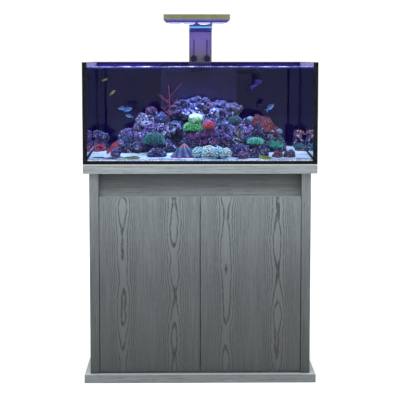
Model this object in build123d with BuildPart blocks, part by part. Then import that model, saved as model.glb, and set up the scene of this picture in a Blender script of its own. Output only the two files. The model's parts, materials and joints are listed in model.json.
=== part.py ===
"""A reef aquarium on a cabinet stand, with its weir, sump and light. Millimetres.

Frame: X to the right, Y away from the front, +Z up, origin on the floor under the plinth's centre.
"""

from build123d import *

import os

# ---- driving dimensions: cabinet -----------------------------------------------------------------
WIDTH = 900.0  # plinth, top panel and tank
DEPTH = 600.0
CABINET_HEIGHT = 850.0
SLAB = 32.0  # plinth and top panel
OVERHANG = 22.0  # of both slabs past the sides and the doors
SIDE = 36.0  # side panels
BOARD = 18.0  # doors, fascia, rear panel, bottom rail
FASCIA_VISIBLE = 92.0  # between the top panel and the doors
FINGER_GAP = 25.0  # behind the top edge of the doors
DOOR_FLOOR_GAP = 8.0
DOOR_SIDE_GAP = 2.0
DOOR_CENTRE_GAP = 2.5
EASED_EDGE = 1.0

# ---- driving dimensions: tank --------------------------------------------------------------------
MAT = 4.0
GLASS = 12.0
SEAL = 1.0  # silicone between two panes
TANK_HEIGHT = 390.0
WATER_BELOW_RIM = 20.0
WEIR_WIDTH = 320.0
WEIR_DEPTH = 110.0
WEIR_WALL = 6.0
SAND_DEPTH = 18.0
BACKGROUND = 2.0

# ---- driving dimensions: plumbing ----------------------------------------------------------------
DRAIN_RADIUS = 16.0
RETURN_RADIUS = 12.5
PIPE_WALL = 2.5
SOCKET_GAP = 0.2
DRAIN_X = -115.0
EMERGENCY_X = -20.0
RETURN_X = 110.0
PIPE_Y = 222.0
OUTLET_X = 250.0

# ---- driving dimensions: sump --------------------------------------------------------------------
SUMP_HALF_WIDTH = 310.0
SUMP_FRONT = -135.0
SUMP_REAR = 275.0
SUMP_HEIGHT = 380.0
SUMP_GLASS = 8.0
BAFFLE = 6.0
SOCK_X = -125.0
SOCK_Y = 205.0
SOCK_RADIUS = 51.0
SKIMMER_X = 30.0
SKIMMER_Y = 40.0
SKIMMER_RADIUS = 52.0

# ---- driving dimensions: light -------------------------------------------------------------------
LIGHT_WIDTH = 264.0
LIGHT_DEPTH = 170.0
LIGHT_HEIGHT = 37.0
LIGHT_ABOVE_RIM = 152.0
ARM_WIDTH = 96.0
ARM_SHEET = 4.0
SLOT_X = 28.0
SLOT_WIDTH = 6.0
SLOT_TRAVEL = 70.0
LENS_PITCH = 60.0
LENS_RADIUS = 24.0

# ---- worked out from them ------------------------------------------------------------------------
FRONT = -DEPTH / 2 + OVERHANG
REAR = DEPTH / 2
BODY_HALF = WIDTH / 2 - OVERHANG
INNER_HALF = BODY_HALF - SIDE
BODY_TOP = CABINET_HEIGHT - SLAB
DOOR_BACK = FRONT + BOARD
DOOR_TOP = BODY_TOP - FASCIA_VISIBLE
DOOR_BOTTOM = SLAB + DOOR_FLOOR_GAP
DOOR_OUTER = INNER_HALF - DOOR_SIDE_GAP
TANK_BOTTOM = CABINET_HEIGHT + MAT
RIM = TANK_BOTTOM + TANK_HEIGHT
BASE_TOP = TANK_BOTTOM + GLASS
SAND_TOP = BASE_TOP + SAND_DEPTH
INNER_X = WIDTH / 2 - GLASS
INNER_Y = DEPTH / 2 - GLASS
WEIR_FRONT = INNER_Y - SEAL - WEIR_DEPTH
SUMP_TOP = SLAB + SUMP_HEIGHT
LIGHT_BOTTOM = RIM + LIGHT_ABOVE_RIM


def save(builder, name):
    """Labels a finished piece and writes its STEP file."""
    builder.part.label = name
    export_step(builder.part, f"parts/{name}.step")
    return builder.part


def block(name, x, y, z, edge=0.0):
    """A board or pane between (low, high) pairs on each axis, with eased edges."""
    with BuildPart() as piece:
        with Locations(((x[0] + x[1]) / 2, (y[0] + y[1]) / 2, (z[0] + z[1]) / 2)):
            Box(x[1] - x[0], y[1] - y[0], z[1] - z[0])
        if edge:
            chamfer(piece.edges(), edge)
    return save(piece, name)


def add_box(x, y, z, mode=Mode.ADD):
    """Adds or cuts a box between (low, high) pairs in the part being built."""
    with Locations(((x[0] + x[1]) / 2, (y[0] + y[1]) / 2, (z[0] + z[1]) / 2)):
        Box(x[1] - x[0], y[1] - y[0], z[1] - z[0], mode=mode)


def add_tube(x, y, z, outer, inner=0.0):
    """Adds an upright cylinder or tube from z[0] to z[1]."""
    with BuildSketch(Plane.XY.offset(z[0])) as ring:
        with Locations((x, y)):
            Circle(outer)
            if inner:
                Circle(inner, mode=Mode.SUBTRACT)
    extrude(ring.sketch, amount=z[1] - z[0])


os.makedirs("parts", exist_ok=True)

# ---- stand ---------------------------------------------------------------------------------------
WEIR_CUT_X = 150.0
WEIR_CUT_Y = (184.0, 262.0)
CUT_RADIUS = 10.0
PIPE_CUT_HALF = 180.0
PIPE_CUT_Z = (640.0, 740.0)
CABLE_CUT_X = (210.0, 330.0)
CABLE_CUT_Z = (440.0, 500.0)


def slab_with_cut(name, z, edge):
    """A full-size slab with the opening that the weir's pipes pass through."""
    with BuildPart() as piece:
        add_box((-WIDTH / 2, WIDTH / 2), (-DEPTH / 2, DEPTH / 2), z)
        if edge:
            chamfer(piece.edges(), edge)
        with BuildSketch(Plane.XY.offset(z[0])):
            with Locations((0, sum(WEIR_CUT_Y) / 2)):
                RectangleRounded(2 * WEIR_CUT_X, WEIR_CUT_Y[1] - WEIR_CUT_Y[0], CUT_RADIUS)
        extrude(amount=z[1] - z[0], mode=Mode.SUBTRACT)
    return save(piece, name)


block("plinth", (-WIDTH / 2, WIDTH / 2), (-DEPTH / 2, REAR), (0, SLAB), EASED_EDGE)
slab_with_cut("top_panel", (BODY_TOP, CABINET_HEIGHT), EASED_EDGE)
slab_with_cut("levelling_mat", (CABINET_HEIGHT, TANK_BOTTOM), 0.0)
for side_name, sign in (("left", -1), ("right", 1)):
    block(
        f"{side_name}_side_panel",
        sorted((sign * INNER_HALF, sign * BODY_HALF)),
        (FRONT, REAR),
        (SLAB, BODY_TOP),
        EASED_EDGE,
    )
FASCIA_FRONT = DOOR_BACK + FINGER_GAP
block(
    "fascia_rail",
    (-INNER_HALF, INNER_HALF),
    (FASCIA_FRONT, FASCIA_FRONT + BOARD),
    (DOOR_TOP - FINGER_GAP, BODY_TOP),
    EASED_EDGE / 2,
)
BUMPER = 2.0
RAIL_FRONT = DOOR_BACK + BUMPER
RAIL_TOP = SLAB + 30.0
block(
    "bottom_rail",
    (-INNER_HALF, INNER_HALF),
    (RAIL_FRONT, RAIL_FRONT + BOARD),
    (SLAB, RAIL_TOP),
    EASED_EDGE / 2,
)

with BuildPart() as rear_panel:
    add_box((-INNER_HALF, INNER_HALF), (REAR - BOARD, REAR), (SLAB, BODY_TOP))
    with BuildSketch(Plane.XZ.offset(-REAR)):
        with Locations((0, sum(PIPE_CUT_Z) / 2)):
            RectangleRounded(2 * PIPE_CUT_HALF, PIPE_CUT_Z[1] - PIPE_CUT_Z[0], CUT_RADIUS)
        for sign in (-1, 1):
            with Locations((sign * sum(CABLE_CUT_X) / 2, sum(CABLE_CUT_Z) / 2)):
                RectangleRounded(
                    CABLE_CUT_X[1] - CABLE_CUT_X[0],
                    CABLE_CUT_Z[1] - CABLE_CUT_Z[0],
                    CUT_RADIUS,
                )
    extrude(amount=BOARD, mode=Mode.SUBTRACT)
save(rear_panel, "rear_panel")

with BuildPart() as door_bumpers:
    with BuildSketch(Plane.XZ.offset(-RAIL_FRONT)):
        with Locations([(x, RAIL_TOP - 12) for x in (-360, -30, 30, 360)]):
            Circle(4.5)
    extrude(amount=BUMPER - 0.2)
save(door_bumpers, "door_bumpers")

# ---- doors and their concealed hinges ------------------------------------------------------------
CUP_FROM_EDGE = 22.5
CUP_X = DOOR_OUTER - CUP_FROM_EDGE
CUP_BORE_RADIUS = 17.6
CUP_DEPTH = 12.0
HINGE_FROM_END = 95.0
HINGE_HEIGHTS = (
    DOOR_BOTTOM + HINGE_FROM_END,
    (DOOR_BOTTOM + DOOR_TOP) / 2,
    DOOR_TOP - HINGE_FROM_END,
)
# Seen from above: distance from the side panel, distance behind the door.
HINGE_ARM = [(5, 68), (5, 27), (14, 11), (14, 3), (30, 3), (30, 8), (20, 10), (13, 27), (13, 68)]
ARM_HEIGHT = 16.0
HINGE_PLATE = (5.0, (18.0, 76.0), 46.0)  # thickness, reach behind the door, height


def door(name, sign):
    """A plain overlay-free door with three hinge cup bores in its back."""
    with BuildPart() as piece:
        add_box(
            sorted((sign * DOOR_CENTRE_GAP / 2, sign * DOOR_OUTER)),
            (FRONT, DOOR_BACK),
            (DOOR_BOTTOM, DOOR_TOP),
        )
        chamfer(piece.edges(), EASED_EDGE)
        with BuildSketch(Plane.XZ.offset(-DOOR_BACK)):
            with Locations([(sign * CUP_X, height) for height in HINGE_HEIGHTS]):
                Circle(CUP_BORE_RADIUS)
        extrude(amount=CUP_DEPTH + 0.2, mode=Mode.SUBTRACT)
    return save(piece, name)


def hinge_cups(name, sign):
    """The door's halves of the hinges: a flanged cup and the stub of its links."""
    places = [(sign * CUP_X, height) for height in HINGE_HEIGHTS]
    with BuildPart() as piece:
        with BuildSketch(Plane.XZ.offset(-DOOR_BACK)):
            with Locations(places):
                Circle(CUP_BORE_RADIUS - 0.1)
        extrude(amount=CUP_DEPTH)
        with BuildSketch(Plane.XZ.offset(-DOOR_BACK)):
            with Locations(places):
                SlotOverall(60, 17, rotation=90)
                Circle(CUP_BORE_RADIUS + 1.0)
        extrude(amount=-1.5)
        with BuildSketch(Plane.XZ.offset(-DOOR_BACK - 1.5)):
            with Locations(places):
                Circle(CUP_BORE_RADIUS - 2.5)
        extrude(amount=CUP_DEPTH, mode=Mode.SUBTRACT)
        with BuildSketch(Plane.XZ.offset(-DOOR_BACK + CUP_DEPTH - 1.5)):
            with Locations(places):
                Rectangle(8, 14)
        extrude(amount=-CUP_DEPTH + 1.0)
    return save(piece, name)


def hinge_arms(name, sign):
    """The cabinet's halves of the hinges: a mounting plate with a cranked arm."""
    thickness, reach, height = HINGE_PLATE
    with BuildPart() as piece:
        for level in HINGE_HEIGHTS:
            add_box(
                sorted((sign * INNER_HALF, sign * (INNER_HALF - thickness))),
                (DOOR_BACK + reach[0], DOOR_BACK + reach[1]),
                (level - height / 2, level + height / 2),
            )
            with BuildSketch(Plane.XY.offset(level - ARM_HEIGHT / 2)):
                with BuildLine():
                    Polyline([(sign * (INNER_HALF - u), DOOR_BACK + v) for u, v in HINGE_ARM], close=True)
                make_face()
            extrude(amount=ARM_HEIGHT)
    return save(piece, name)


for side_name, sign in (("left", -1), ("right", 1)):
    door(f"{side_name}_door", sign)
    hinge_cups(f"{side_name}_hinge_cups", sign)
    hinge_arms(f"{side_name}_hinge_arms", sign)

# ---- tank glass, silicone and background ---------------------------------------------------------
GLASS_EDGE = 0.8
TANK_Z = (TANK_BOTTOM, RIM)
PANE_Y = INNER_Y - SEAL
PANE_X = INNER_X - SEAL
block("front_glass", (-WIDTH / 2, WIDTH / 2), (-DEPTH / 2, -INNER_Y), TANK_Z, GLASS_EDGE)
block("rear_glass", (-WIDTH / 2, WIDTH / 2), (INNER_Y, DEPTH / 2), TANK_Z, GLASS_EDGE)
block("left_glass", (-WIDTH / 2, -INNER_X), (-PANE_Y, PANE_Y), TANK_Z, GLASS_EDGE)
block("right_glass", (INNER_X, WIDTH / 2), (-PANE_Y, PANE_Y), TANK_Z, GLASS_EDGE)
block(
    "background_sheet",
    (-WIDTH / 2 + 1, WIDTH / 2 - 1),
    (DEPTH / 2, DEPTH / 2 + BACKGROUND),
    (TANK_BOTTOM + 2, RIM - 1),
)
BULKHEADS = ((DRAIN_X, DRAIN_RADIUS), (EMERGENCY_X, DRAIN_RADIUS), (RETURN_X, RETURN_RADIUS))

with BuildPart() as base_glass:
    add_box((-PANE_X, PANE_X), (-PANE_Y, PANE_Y), (TANK_BOTTOM, BASE_TOP))
    chamfer(base_glass.edges(), GLASS_EDGE)
    for x, radius in BULKHEADS:
        with BuildSketch(Plane.XY.offset(TANK_BOTTOM)):
            with Locations((x, PIPE_Y)):
                Circle(radius + 5.5)
        extrude(amount=GLASS, mode=Mode.SUBTRACT)
save(base_glass, "base_glass")

BEAD = 5.0  # leg of the fillet bead in each inside corner
with BuildPart() as silicone_seams:
    for sign in (-1, 1):
        # between the side panes' edges and the front and rear panes
        for end in (-1, 1):
            add_box(
                sorted((sign * INNER_X, sign * WIDTH / 2)),
                sorted((end * PANE_Y, end * INNER_Y)),
                TANK_Z,
            )
        # under the side panes' lower inner edge, against the base pane
        add_box(sorted((sign * PANE_X, sign * INNER_X)), (-PANE_Y, PANE_Y), (TANK_BOTTOM, BASE_TOP))
        # along the base pane's front and rear edges
        add_box((-INNER_X, INNER_X), sorted((sign * PANE_Y, sign * INNER_Y)), (TANK_BOTTOM, BASE_TOP))
        # upright fillet beads in the inside corners
        for end in (-1, 1):
            with BuildSketch(Plane.XY.offset(BASE_TOP)):
                with BuildLine():
                    Polyline(
                        [
                            (sign * INNER_X, end * INNER_Y),
                            (sign * (INNER_X - BEAD), end * INNER_Y),
                            (sign * INNER_X, end * (INNER_Y - BEAD)),
                        ],
                        close=True,
                    )
                make_face()
            extrude(amount=TANK_HEIGHT - GLASS)
save(silicone_seams, "silicone_seams")

# ---- weir ----------------------------------------------------------------------------------------
WEIR_HALF = WEIR_WIDTH / 2
WEIR_REAR = INNER_Y - 0.2
WEIR_TOP = RIM - 8.0
CREST = RIM - 52.0  # top of the weir's front wall
RETURN_TOP = RIM - 39.0
PORT_RADIUS = RETURN_RADIUS + 0.5
with BuildPart() as weir_box:
    add_box((-WEIR_HALF, WEIR_HALF), (WEIR_FRONT, WEIR_FRONT + WEIR_WALL), (BASE_TOP, CREST))
    for sign in (-1, 1):
        add_box(
            sorted((sign * WEIR_HALF, sign * (WEIR_HALF - WEIR_WALL))),
            (WEIR_FRONT, WEIR_REAR),
            (BASE_TOP, WEIR_TOP),
        )
    with BuildSketch(Plane.YZ.offset(WEIR_HALF - WEIR_WALL)):
        with Locations((PIPE_Y, RETURN_TOP)):
            Circle(PORT_RADIUS)
    extrude(amount=WEIR_WALL, mode=Mode.SUBTRACT)
save(weir_box, "weir_box")

COMB_PITCH = 11.0
COMB_SLOT = 5.5
COMB_SLOTS = 26
COMB_HALF = WEIR_HALF - WEIR_WALL - 0.5
with BuildPart() as weir_comb:
    add_box((-COMB_HALF, COMB_HALF), (WEIR_FRONT, WEIR_FRONT + WEIR_WALL), (CREST, WEIR_TOP))
    add_box(
        (-COMB_HALF, COMB_HALF),
        (WEIR_FRONT + WEIR_WALL + 0.3, WEIR_FRONT + WEIR_WALL + 3.3),
        (CREST - 20, CREST + 6),
    )
    add_box(
        (-COMB_HALF, COMB_HALF),
        (WEIR_FRONT + WEIR_WALL, WEIR_FRONT + WEIR_WALL + 0.3),
        (CREST, CREST + 6),
    )
    with BuildSketch(Plane.XZ.offset(-WEIR_FRONT - WEIR_WALL)):
        with GridLocations(COMB_PITCH, 1, COMB_SLOTS, 1):
            with Locations((0, CREST + 10 + (WEIR_TOP - CREST) / 2)):
                Rectangle(COMB_SLOT, WEIR_TOP - CREST)
    extrude(amount=WEIR_WALL, mode=Mode.SUBTRACT)
save(weir_comb, "weir_comb")

# ---- bulkheads, standpipes and return ------------------------------------------------------------
FLANGE = 8.0
BARREL_END = TANK_BOTTOM - 34.0
STOP = TANK_BOTTOM - 6.0  # the ledge between the upper and lower sockets
with BuildPart() as bulkheads:
    for x, radius in BULKHEADS:
        add_tube(x, PIPE_Y, (BARREL_END, BASE_TOP), radius + 4.5)
        add_tube(x, PIPE_Y, (BASE_TOP, BASE_TOP + FLANGE), radius + 15)
        for z, hole in (
            ((BARREL_END, STOP - 3), radius + SOCKET_GAP),
            ((STOP - 3, STOP), radius - PIPE_WALL),
            ((STOP, BASE_TOP + FLANGE), radius + SOCKET_GAP),
        ):
            with BuildSketch(Plane.XY.offset(z[0])):
                with Locations((x, PIPE_Y)):
                    Circle(hole)
            extrude(amount=z[1] - z[0], mode=Mode.SUBTRACT)
save(bulkheads, "bulkheads")

with BuildPart() as bulkhead_nuts:
    for x, radius in BULKHEADS:
        with BuildSketch(Plane.XY.offset(TANK_BOTTOM - 14)):
            with Locations((x, PIPE_Y)):
                RegularPolygon(radius + 13, 6, major_radius=False)
                Circle(radius + 4.7, mode=Mode.SUBTRACT)
        extrude(amount=14)
save(bulkhead_nuts, "bulkhead_nuts")

STANDPIPE_TOPS = ((DRAIN_X, RIM - 52.0), (EMERGENCY_X, RIM - 34.0))
with BuildPart() as drain_standpipes:
    for x, top in STANDPIPE_TOPS:
        add_tube(x, PIPE_Y, (STOP + 0.5, top), DRAIN_RADIUS, DRAIN_RADIUS - PIPE_WALL)
    # intake slots round the head of each standpipe
    for x, top in STANDPIPE_TOPS:
        with BuildSketch(Plane.XY.offset(top - 45)):
            with Locations((x, PIPE_Y)):
                with PolarLocations(0, 4):
                    Rectangle(2.6 * DRAIN_RADIUS, 4)
        extrude(amount=35, mode=Mode.SUBTRACT)
save(drain_standpipes, "drain_standpipes")

OUTLET_END = RETURN_TOP - 20.0
BALL_RADIUS = 13.0
BALL_Z = OUTLET_END - 20.0
with BuildPart() as return_riser:
    with BuildLine() as riser_path:
        FilletPolyline(
            (RETURN_X, PIPE_Y, STOP + 0.5),
            (RETURN_X, PIPE_Y, RETURN_TOP),
            (OUTLET_X, PIPE_Y, RETURN_TOP),
            (OUTLET_X, PIPE_Y, OUTLET_END),
            radius=18,
        )
    with BuildSketch(Plane.XY.offset(STOP + 0.5)):
        with Locations((RETURN_X, PIPE_Y)):
            Circle(RETURN_RADIUS)
            Circle(RETURN_RADIUS - PIPE_WALL, mode=Mode.SUBTRACT)
    sweep(path=riser_path.wires()[0])
    # the ball that the nozzle turns on, on a collar at the end of the pipe
    add_tube(OUTLET_X, PIPE_Y, (OUTLET_END - 10, OUTLET_END), RETURN_RADIUS + 3)
    with Locations((OUTLET_X, PIPE_Y, BALL_Z)):
        Sphere(BALL_RADIUS)
    with BuildSketch(Plane.XY.offset(BALL_Z - BALL_RADIUS)):
        with Locations((OUTLET_X, PIPE_Y)):
            Circle(RETURN_RADIUS - 5)
    extrude(amount=2 * BALL_RADIUS + 12, mode=Mode.SUBTRACT)
save(return_riser, "return_riser")

NOZZLE_END = (OUTLET_X - 34.0, PIPE_Y - 10.0, BALL_Z - 33.0)
with BuildPart() as return_nozzle:
    with BuildSketch(Plane.XY.offset(BALL_Z - 12)):
        with Locations((OUTLET_X, PIPE_Y)):
            Circle(BALL_RADIUS + 3)
    extrude(amount=16)
    with BuildSketch(Plane.XY.offset(BALL_Z - 12)):
        with Locations((OUTLET_X, PIPE_Y)):
            Circle(11)
    with BuildSketch(Plane(NOZZLE_END, x_dir=(0.35, 0.1, -1), z_dir=(-1, -0.3, -0.38))):
        SlotOverall(34, 13, rotation=90)
    loft()
    with Locations((OUTLET_X, PIPE_Y, BALL_Z)):
        Sphere(BALL_RADIUS + 0.3, mode=Mode.SUBTRACT)
save(return_nozzle, "return_nozzle")

# ---- sand and rocks ------------------------------------------------------------------------------
WALL_GAP = 0.5
with BuildPart() as sand_bed:
    sand_x = PANE_X - BEAD
    sand_y = PANE_Y - BEAD
    add_box((-sand_x, sand_x), (-sand_y, sand_y), (BASE_TOP, SAND_TOP))
    add_box(
        (-WEIR_HALF - WALL_GAP, WEIR_HALF + WALL_GAP),
        (WEIR_FRONT - WALL_GAP, sand_y),
        (BASE_TOP, SAND_TOP),
        mode=Mode.SUBTRACT,
    )
save(sand_bed, "sand_bed")


def rock(name, x_limits, lobes):
    """A pile of rounded lobes, (x, y, height above the sand, radius), that stands on the sand."""
    with BuildPart() as piece:
        for x, y, height, radius in lobes:
            with Locations((x, y, SAND_TOP + height)):
                Sphere(radius)
        add_box(x_limits, (-INNER_Y, INNER_Y), (SAND_TOP, RIM), mode=Mode.INTERSECT)
    return save(piece, name)


rock(
    "rock_left",
    (-360, -92),
    [(-268, -10, 5, 82), (-205, 25, 60, 84), (-140, 0, 45, 72), (-200, 10, 118, 56)],
)
rock(
    "rock_centre",
    (-88, 168),
    [(-50, 30, 40, 88), (30, 20, 70, 92), (110, 25, 55, 84), (5, 45, 148, 58), (95, 45, 128, 56)],
)
rock("rock_right", (172, 350), [(205, 15, 45, 82), (262, 0, 25, 70), (305, -15, 5, 45)])

RUBBLE = [
    (-330, -180, 24),
    (-140, -190, 30),
    (-60, -170, 22),
    (60, -185, 34),
    (150, -165, 40),
    (250, -190, 26),
]
with BuildPart() as reef_rubble:
    for x, y, radius in RUBBLE:
        with Locations((x, y, SAND_TOP)):
            Sphere(radius)
    add_box((-INNER_X, INNER_X), (-INNER_Y, INNER_Y), (SAND_TOP, RIM), mode=Mode.INTERSECT)
save(reef_rubble, "reef_rubble")

# ---- sump ----------------------------------------------------------------------------------------
SUMP_FLOOR = SLAB + SUMP_GLASS
SUMP_X = SUMP_HALF_WIDTH - SUMP_GLASS
SUMP_Y = (SUMP_FRONT + SUMP_GLASS, SUMP_REAR - SUMP_GLASS)
SOCK_WALL_X = (-60.0, -54.0)
SOCK_WALL_Y = (112.0, 118.0)
WEIR_BAFFLES_X = (150.0, 176.0, 202.0)
WATER_LINE = SLAB + 250.0
with BuildPart() as sump_glass:
    add_box((-SUMP_HALF_WIDTH, SUMP_HALF_WIDTH), (SUMP_FRONT, SUMP_REAR), (SLAB, SUMP_TOP))
    add_box((-SUMP_X, SUMP_X), SUMP_Y, (SUMP_FLOOR, SUMP_TOP), mode=Mode.SUBTRACT)
save(sump_glass, "sump_glass")

with BuildPart() as sump_baffles:
    add_box(SOCK_WALL_X, SUMP_Y, (SUMP_FLOOR + 40, SUMP_TOP - 20))
    add_box((-SUMP_X, SOCK_WALL_X[0] - SEAL), SOCK_WALL_Y, (SUMP_FLOOR, SUMP_TOP - 20))
    for x, z in zip(
        WEIR_BAFFLES_X,
        ((SUMP_FLOOR, WATER_LINE - 30), (SUMP_FLOOR + 40, WATER_LINE + 20), (SUMP_FLOOR, WATER_LINE - 60)),
    ):
        add_box((x, x + BAFFLE), SUMP_Y, z)
save(sump_baffles, "sump_baffles")

SHELF = (SUMP_TOP - 20, SUMP_TOP - 14)
with BuildPart() as sock_holder:
    add_box((-SUMP_X + 0.5, SOCK_WALL_X[1]), (SOCK_WALL_Y[0], SUMP_Y[1] - 0.5), SHELF)
    with BuildSketch(Plane.XY.offset(SHELF[0])):
        with Locations((SOCK_X, SOCK_Y)):
            Circle(SOCK_RADIUS)
    extrude(amount=SHELF[1] - SHELF[0], mode=Mode.SUBTRACT)
save(sock_holder, "sock_holder")

SOCK_BOTTOM = SUMP_FLOOR + 130.0
with BuildPart() as sock_ring:
    add_tube(SOCK_X, SOCK_Y, (SHELF[1] + 0.3, SHELF[1] + 5), SOCK_RADIUS + 6, SOCK_RADIUS - 5)
    add_tube(SOCK_X, SOCK_Y, (SHELF[0] - 14, SHELF[1] + 0.3), SOCK_RADIUS - 1, SOCK_RADIUS - 5)
save(sock_ring, "sock_ring")

with BuildPart() as filter_sock:
    with BuildSketch(Plane((SOCK_X, SOCK_Y, 0), x_dir=(1, 0, 0), z_dir=(0, -1, 0))):
        with BuildLine():
            Polyline(
                [
                    (0, SOCK_BOTTOM),
                    (30, SOCK_BOTTOM),
                    (SOCK_RADIUS - 6, SOCK_BOTTOM + 25),
                    (SOCK_RADIUS - 5, SHELF[0] - 14),
                    (SOCK_RADIUS - 1, SHELF[0] - 14),
                    (SOCK_RADIUS - 1, SHELF[0] - 16),
                    (SOCK_RADIUS - 3, SOCK_BOTTOM + 22),
                    (32, SOCK_BOTTOM - 3),
                    (0, SOCK_BOTTOM - 3),
                ],
                close=True,
            )
        make_face()
    revolve(axis=Axis((SOCK_X, SOCK_Y, 0), (0, 0, 1)))
save(filter_sock, "filter_sock")

VALVE_Z = 640.0
VALVE_HALF = 38.0
LOWER_SOCKET = STOP - 3.5
with BuildPart() as drain_pipes:
    for x, z in (
        (DRAIN_X, (SHELF[0] - 30, VALVE_Z - 16)),
        (DRAIN_X, (VALVE_Z + 16, LOWER_SOCKET)),
        (EMERGENCY_X, (WATER_LINE + 30, LOWER_SOCKET)),
    ):
        add_tube(x, PIPE_Y, z, DRAIN_RADIUS, DRAIN_RADIUS - PIPE_WALL)
save(drain_pipes, "drain_pipes")

STEM_RADIUS = 6.0
BONNET = 34.0  # reach of the valve's bonnet in front of the pipe's axis
with BuildPart() as drain_valve:
    add_tube(DRAIN_X, PIPE_Y, (VALVE_Z - VALVE_HALF, VALVE_Z + VALVE_HALF), DRAIN_RADIUS + 6)
    with Locations((DRAIN_X, PIPE_Y, VALVE_Z)):
        Sphere(DRAIN_RADIUS + 12)
    with BuildSketch(Plane.XZ.offset(-PIPE_Y)):
        with Locations((DRAIN_X, VALVE_Z)):
            Circle(13)
    extrude(amount=BONNET)
    for z, hole in (
        ((VALVE_Z - VALVE_HALF, VALVE_Z - 15.5), DRAIN_RADIUS + SOCKET_GAP),
        ((VALVE_Z - 15.5, VALVE_Z + 15.5), DRAIN_RADIUS - PIPE_WALL),
        ((VALVE_Z + 15.5, VALVE_Z + VALVE_HALF), DRAIN_RADIUS + SOCKET_GAP),
    ):
        with BuildSketch(Plane.XY.offset(z[0])):
            with Locations((DRAIN_X, PIPE_Y)):
                Circle(hole)
        extrude(amount=z[1] - z[0], mode=Mode.SUBTRACT)
    with BuildSketch(Plane.XZ.offset(-PIPE_Y + BONNET)):
        with Locations((DRAIN_X, VALVE_Z)):
            Circle(STEM_RADIUS)
    extrude(amount=-12, mode=Mode.SUBTRACT)
save(drain_valve, "drain_valve")

with BuildPart() as valve_handle:
    with BuildSketch(Plane.XZ.offset(-PIPE_Y + BONNET - 11.5)):
        with Locations((DRAIN_X, VALVE_Z)):
            Circle(STEM_RADIUS - 0.06)
    extrude(amount=14)
    with BuildSketch(Plane.XZ.offset(-PIPE_Y + BONNET + 1)):
        with Locations((DRAIN_X, VALVE_Z)):
            Circle(14)
        with Locations((DRAIN_X, VALVE_Z - 42)):
            SlotOverall(104, 18, rotation=90)
    extrude(amount=7)
save(valve_handle, "valve_handle")

PUMP_X = 255.0
PUMP_Y = (110.0, 250.0)
PUMP_HEIGHT = 92.0
PUMP_OUTLET = SUMP_FLOOR + PUMP_HEIGHT + 22.0
with BuildPart() as return_pump:
    add_box((PUMP_X - 38, PUMP_X + 38), PUMP_Y, (SUMP_FLOOR, SUMP_FLOOR + PUMP_HEIGHT))
    fillet(return_pump.edges().filter_by(Axis.Y), 14)
    fillet(return_pump.edges().filter_by(Plane.XZ), 5)
    with BuildSketch(Plane.XZ.offset(-PUMP_Y[0])):
        with Locations((PUMP_X, SUMP_FLOOR + 44)):
            Circle(28)
    extrude(amount=16)
    add_tube(PUMP_X, PIPE_Y, (SUMP_FLOOR + PUMP_HEIGHT - 6, PUMP_OUTLET), RETURN_RADIUS + 5)
    with BuildSketch(Plane.XY.offset(SUMP_FLOOR + PUMP_HEIGHT - 2)):
        with Locations((PUMP_X, PIPE_Y)):
            Circle(RETURN_RADIUS + SOCKET_GAP)
    extrude(amount=30, mode=Mode.SUBTRACT)
    # grooves of the intake strainer
    with BuildSketch(Plane.XZ.offset(-PUMP_Y[0] + 16)):
        with Locations((PUMP_X, SUMP_FLOOR + 44)):
            with GridLocations(8, 1, 6, 1):
                Rectangle(3, 40)
    extrude(amount=-12, mode=Mode.SUBTRACT)
save(return_pump, "return_pump")

CROSSING = 600.0
with BuildPart() as return_pipe:
    with BuildLine() as return_path:
        FilletPolyline(
            (PUMP_X, PIPE_Y, SUMP_FLOOR + PUMP_HEIGHT - 1),
            (PUMP_X, PIPE_Y, CROSSING),
            (RETURN_X, PIPE_Y, CROSSING),
            (RETURN_X, PIPE_Y, LOWER_SOCKET),
            radius=24,
        )
    with BuildSketch(Plane.XY.offset(SUMP_FLOOR + PUMP_HEIGHT - 1)):
        with Locations((PUMP_X, PIPE_Y)):
            Circle(RETURN_RADIUS)
            Circle(RETURN_RADIUS - PIPE_WALL, mode=Mode.SUBTRACT)
    sweep(path=return_path.wires()[0])
save(return_pipe, "return_pipe")

# Profile of the skimmer's walls, (radius, height above the sump's floor), outside then inside.
NECK = 32.0
SKIMMER_OUTSIDE = [(0, 0), (60, 0), (60, 6), (52, 6), (52, 290), (NECK, 350), (NECK, 460)]
SKIMMER_INSIDE = [(NECK - 3, 460), (NECK - 3, 351), (48, 291), (48, 10), (0, 10)]
with BuildPart() as skimmer_body:
    with BuildSketch(Plane((SKIMMER_X, SKIMMER_Y, SUMP_FLOOR), x_dir=(1, 0, 0), z_dir=(0, -1, 0))):
        with BuildLine():
            Polyline(SKIMMER_OUTSIDE + SKIMMER_INSIDE, close=True)
        make_face()
    revolve(axis=Axis((SKIMMER_X, SKIMMER_Y, 0), (0, 0, 1)))
    add_box(
        (SKIMMER_X + 30, SKIMMER_X + 100),
        (SKIMMER_Y - 25, SKIMMER_Y + 25),
        (SUMP_FLOOR + 20, SUMP_FLOOR + 70),
    )
    add_tube(SKIMMER_X, SKIMMER_Y, (SUMP_FLOOR + 10, SUMP_FLOOR + 80), 48)
save(skimmer_body, "skimmer_body")

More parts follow.
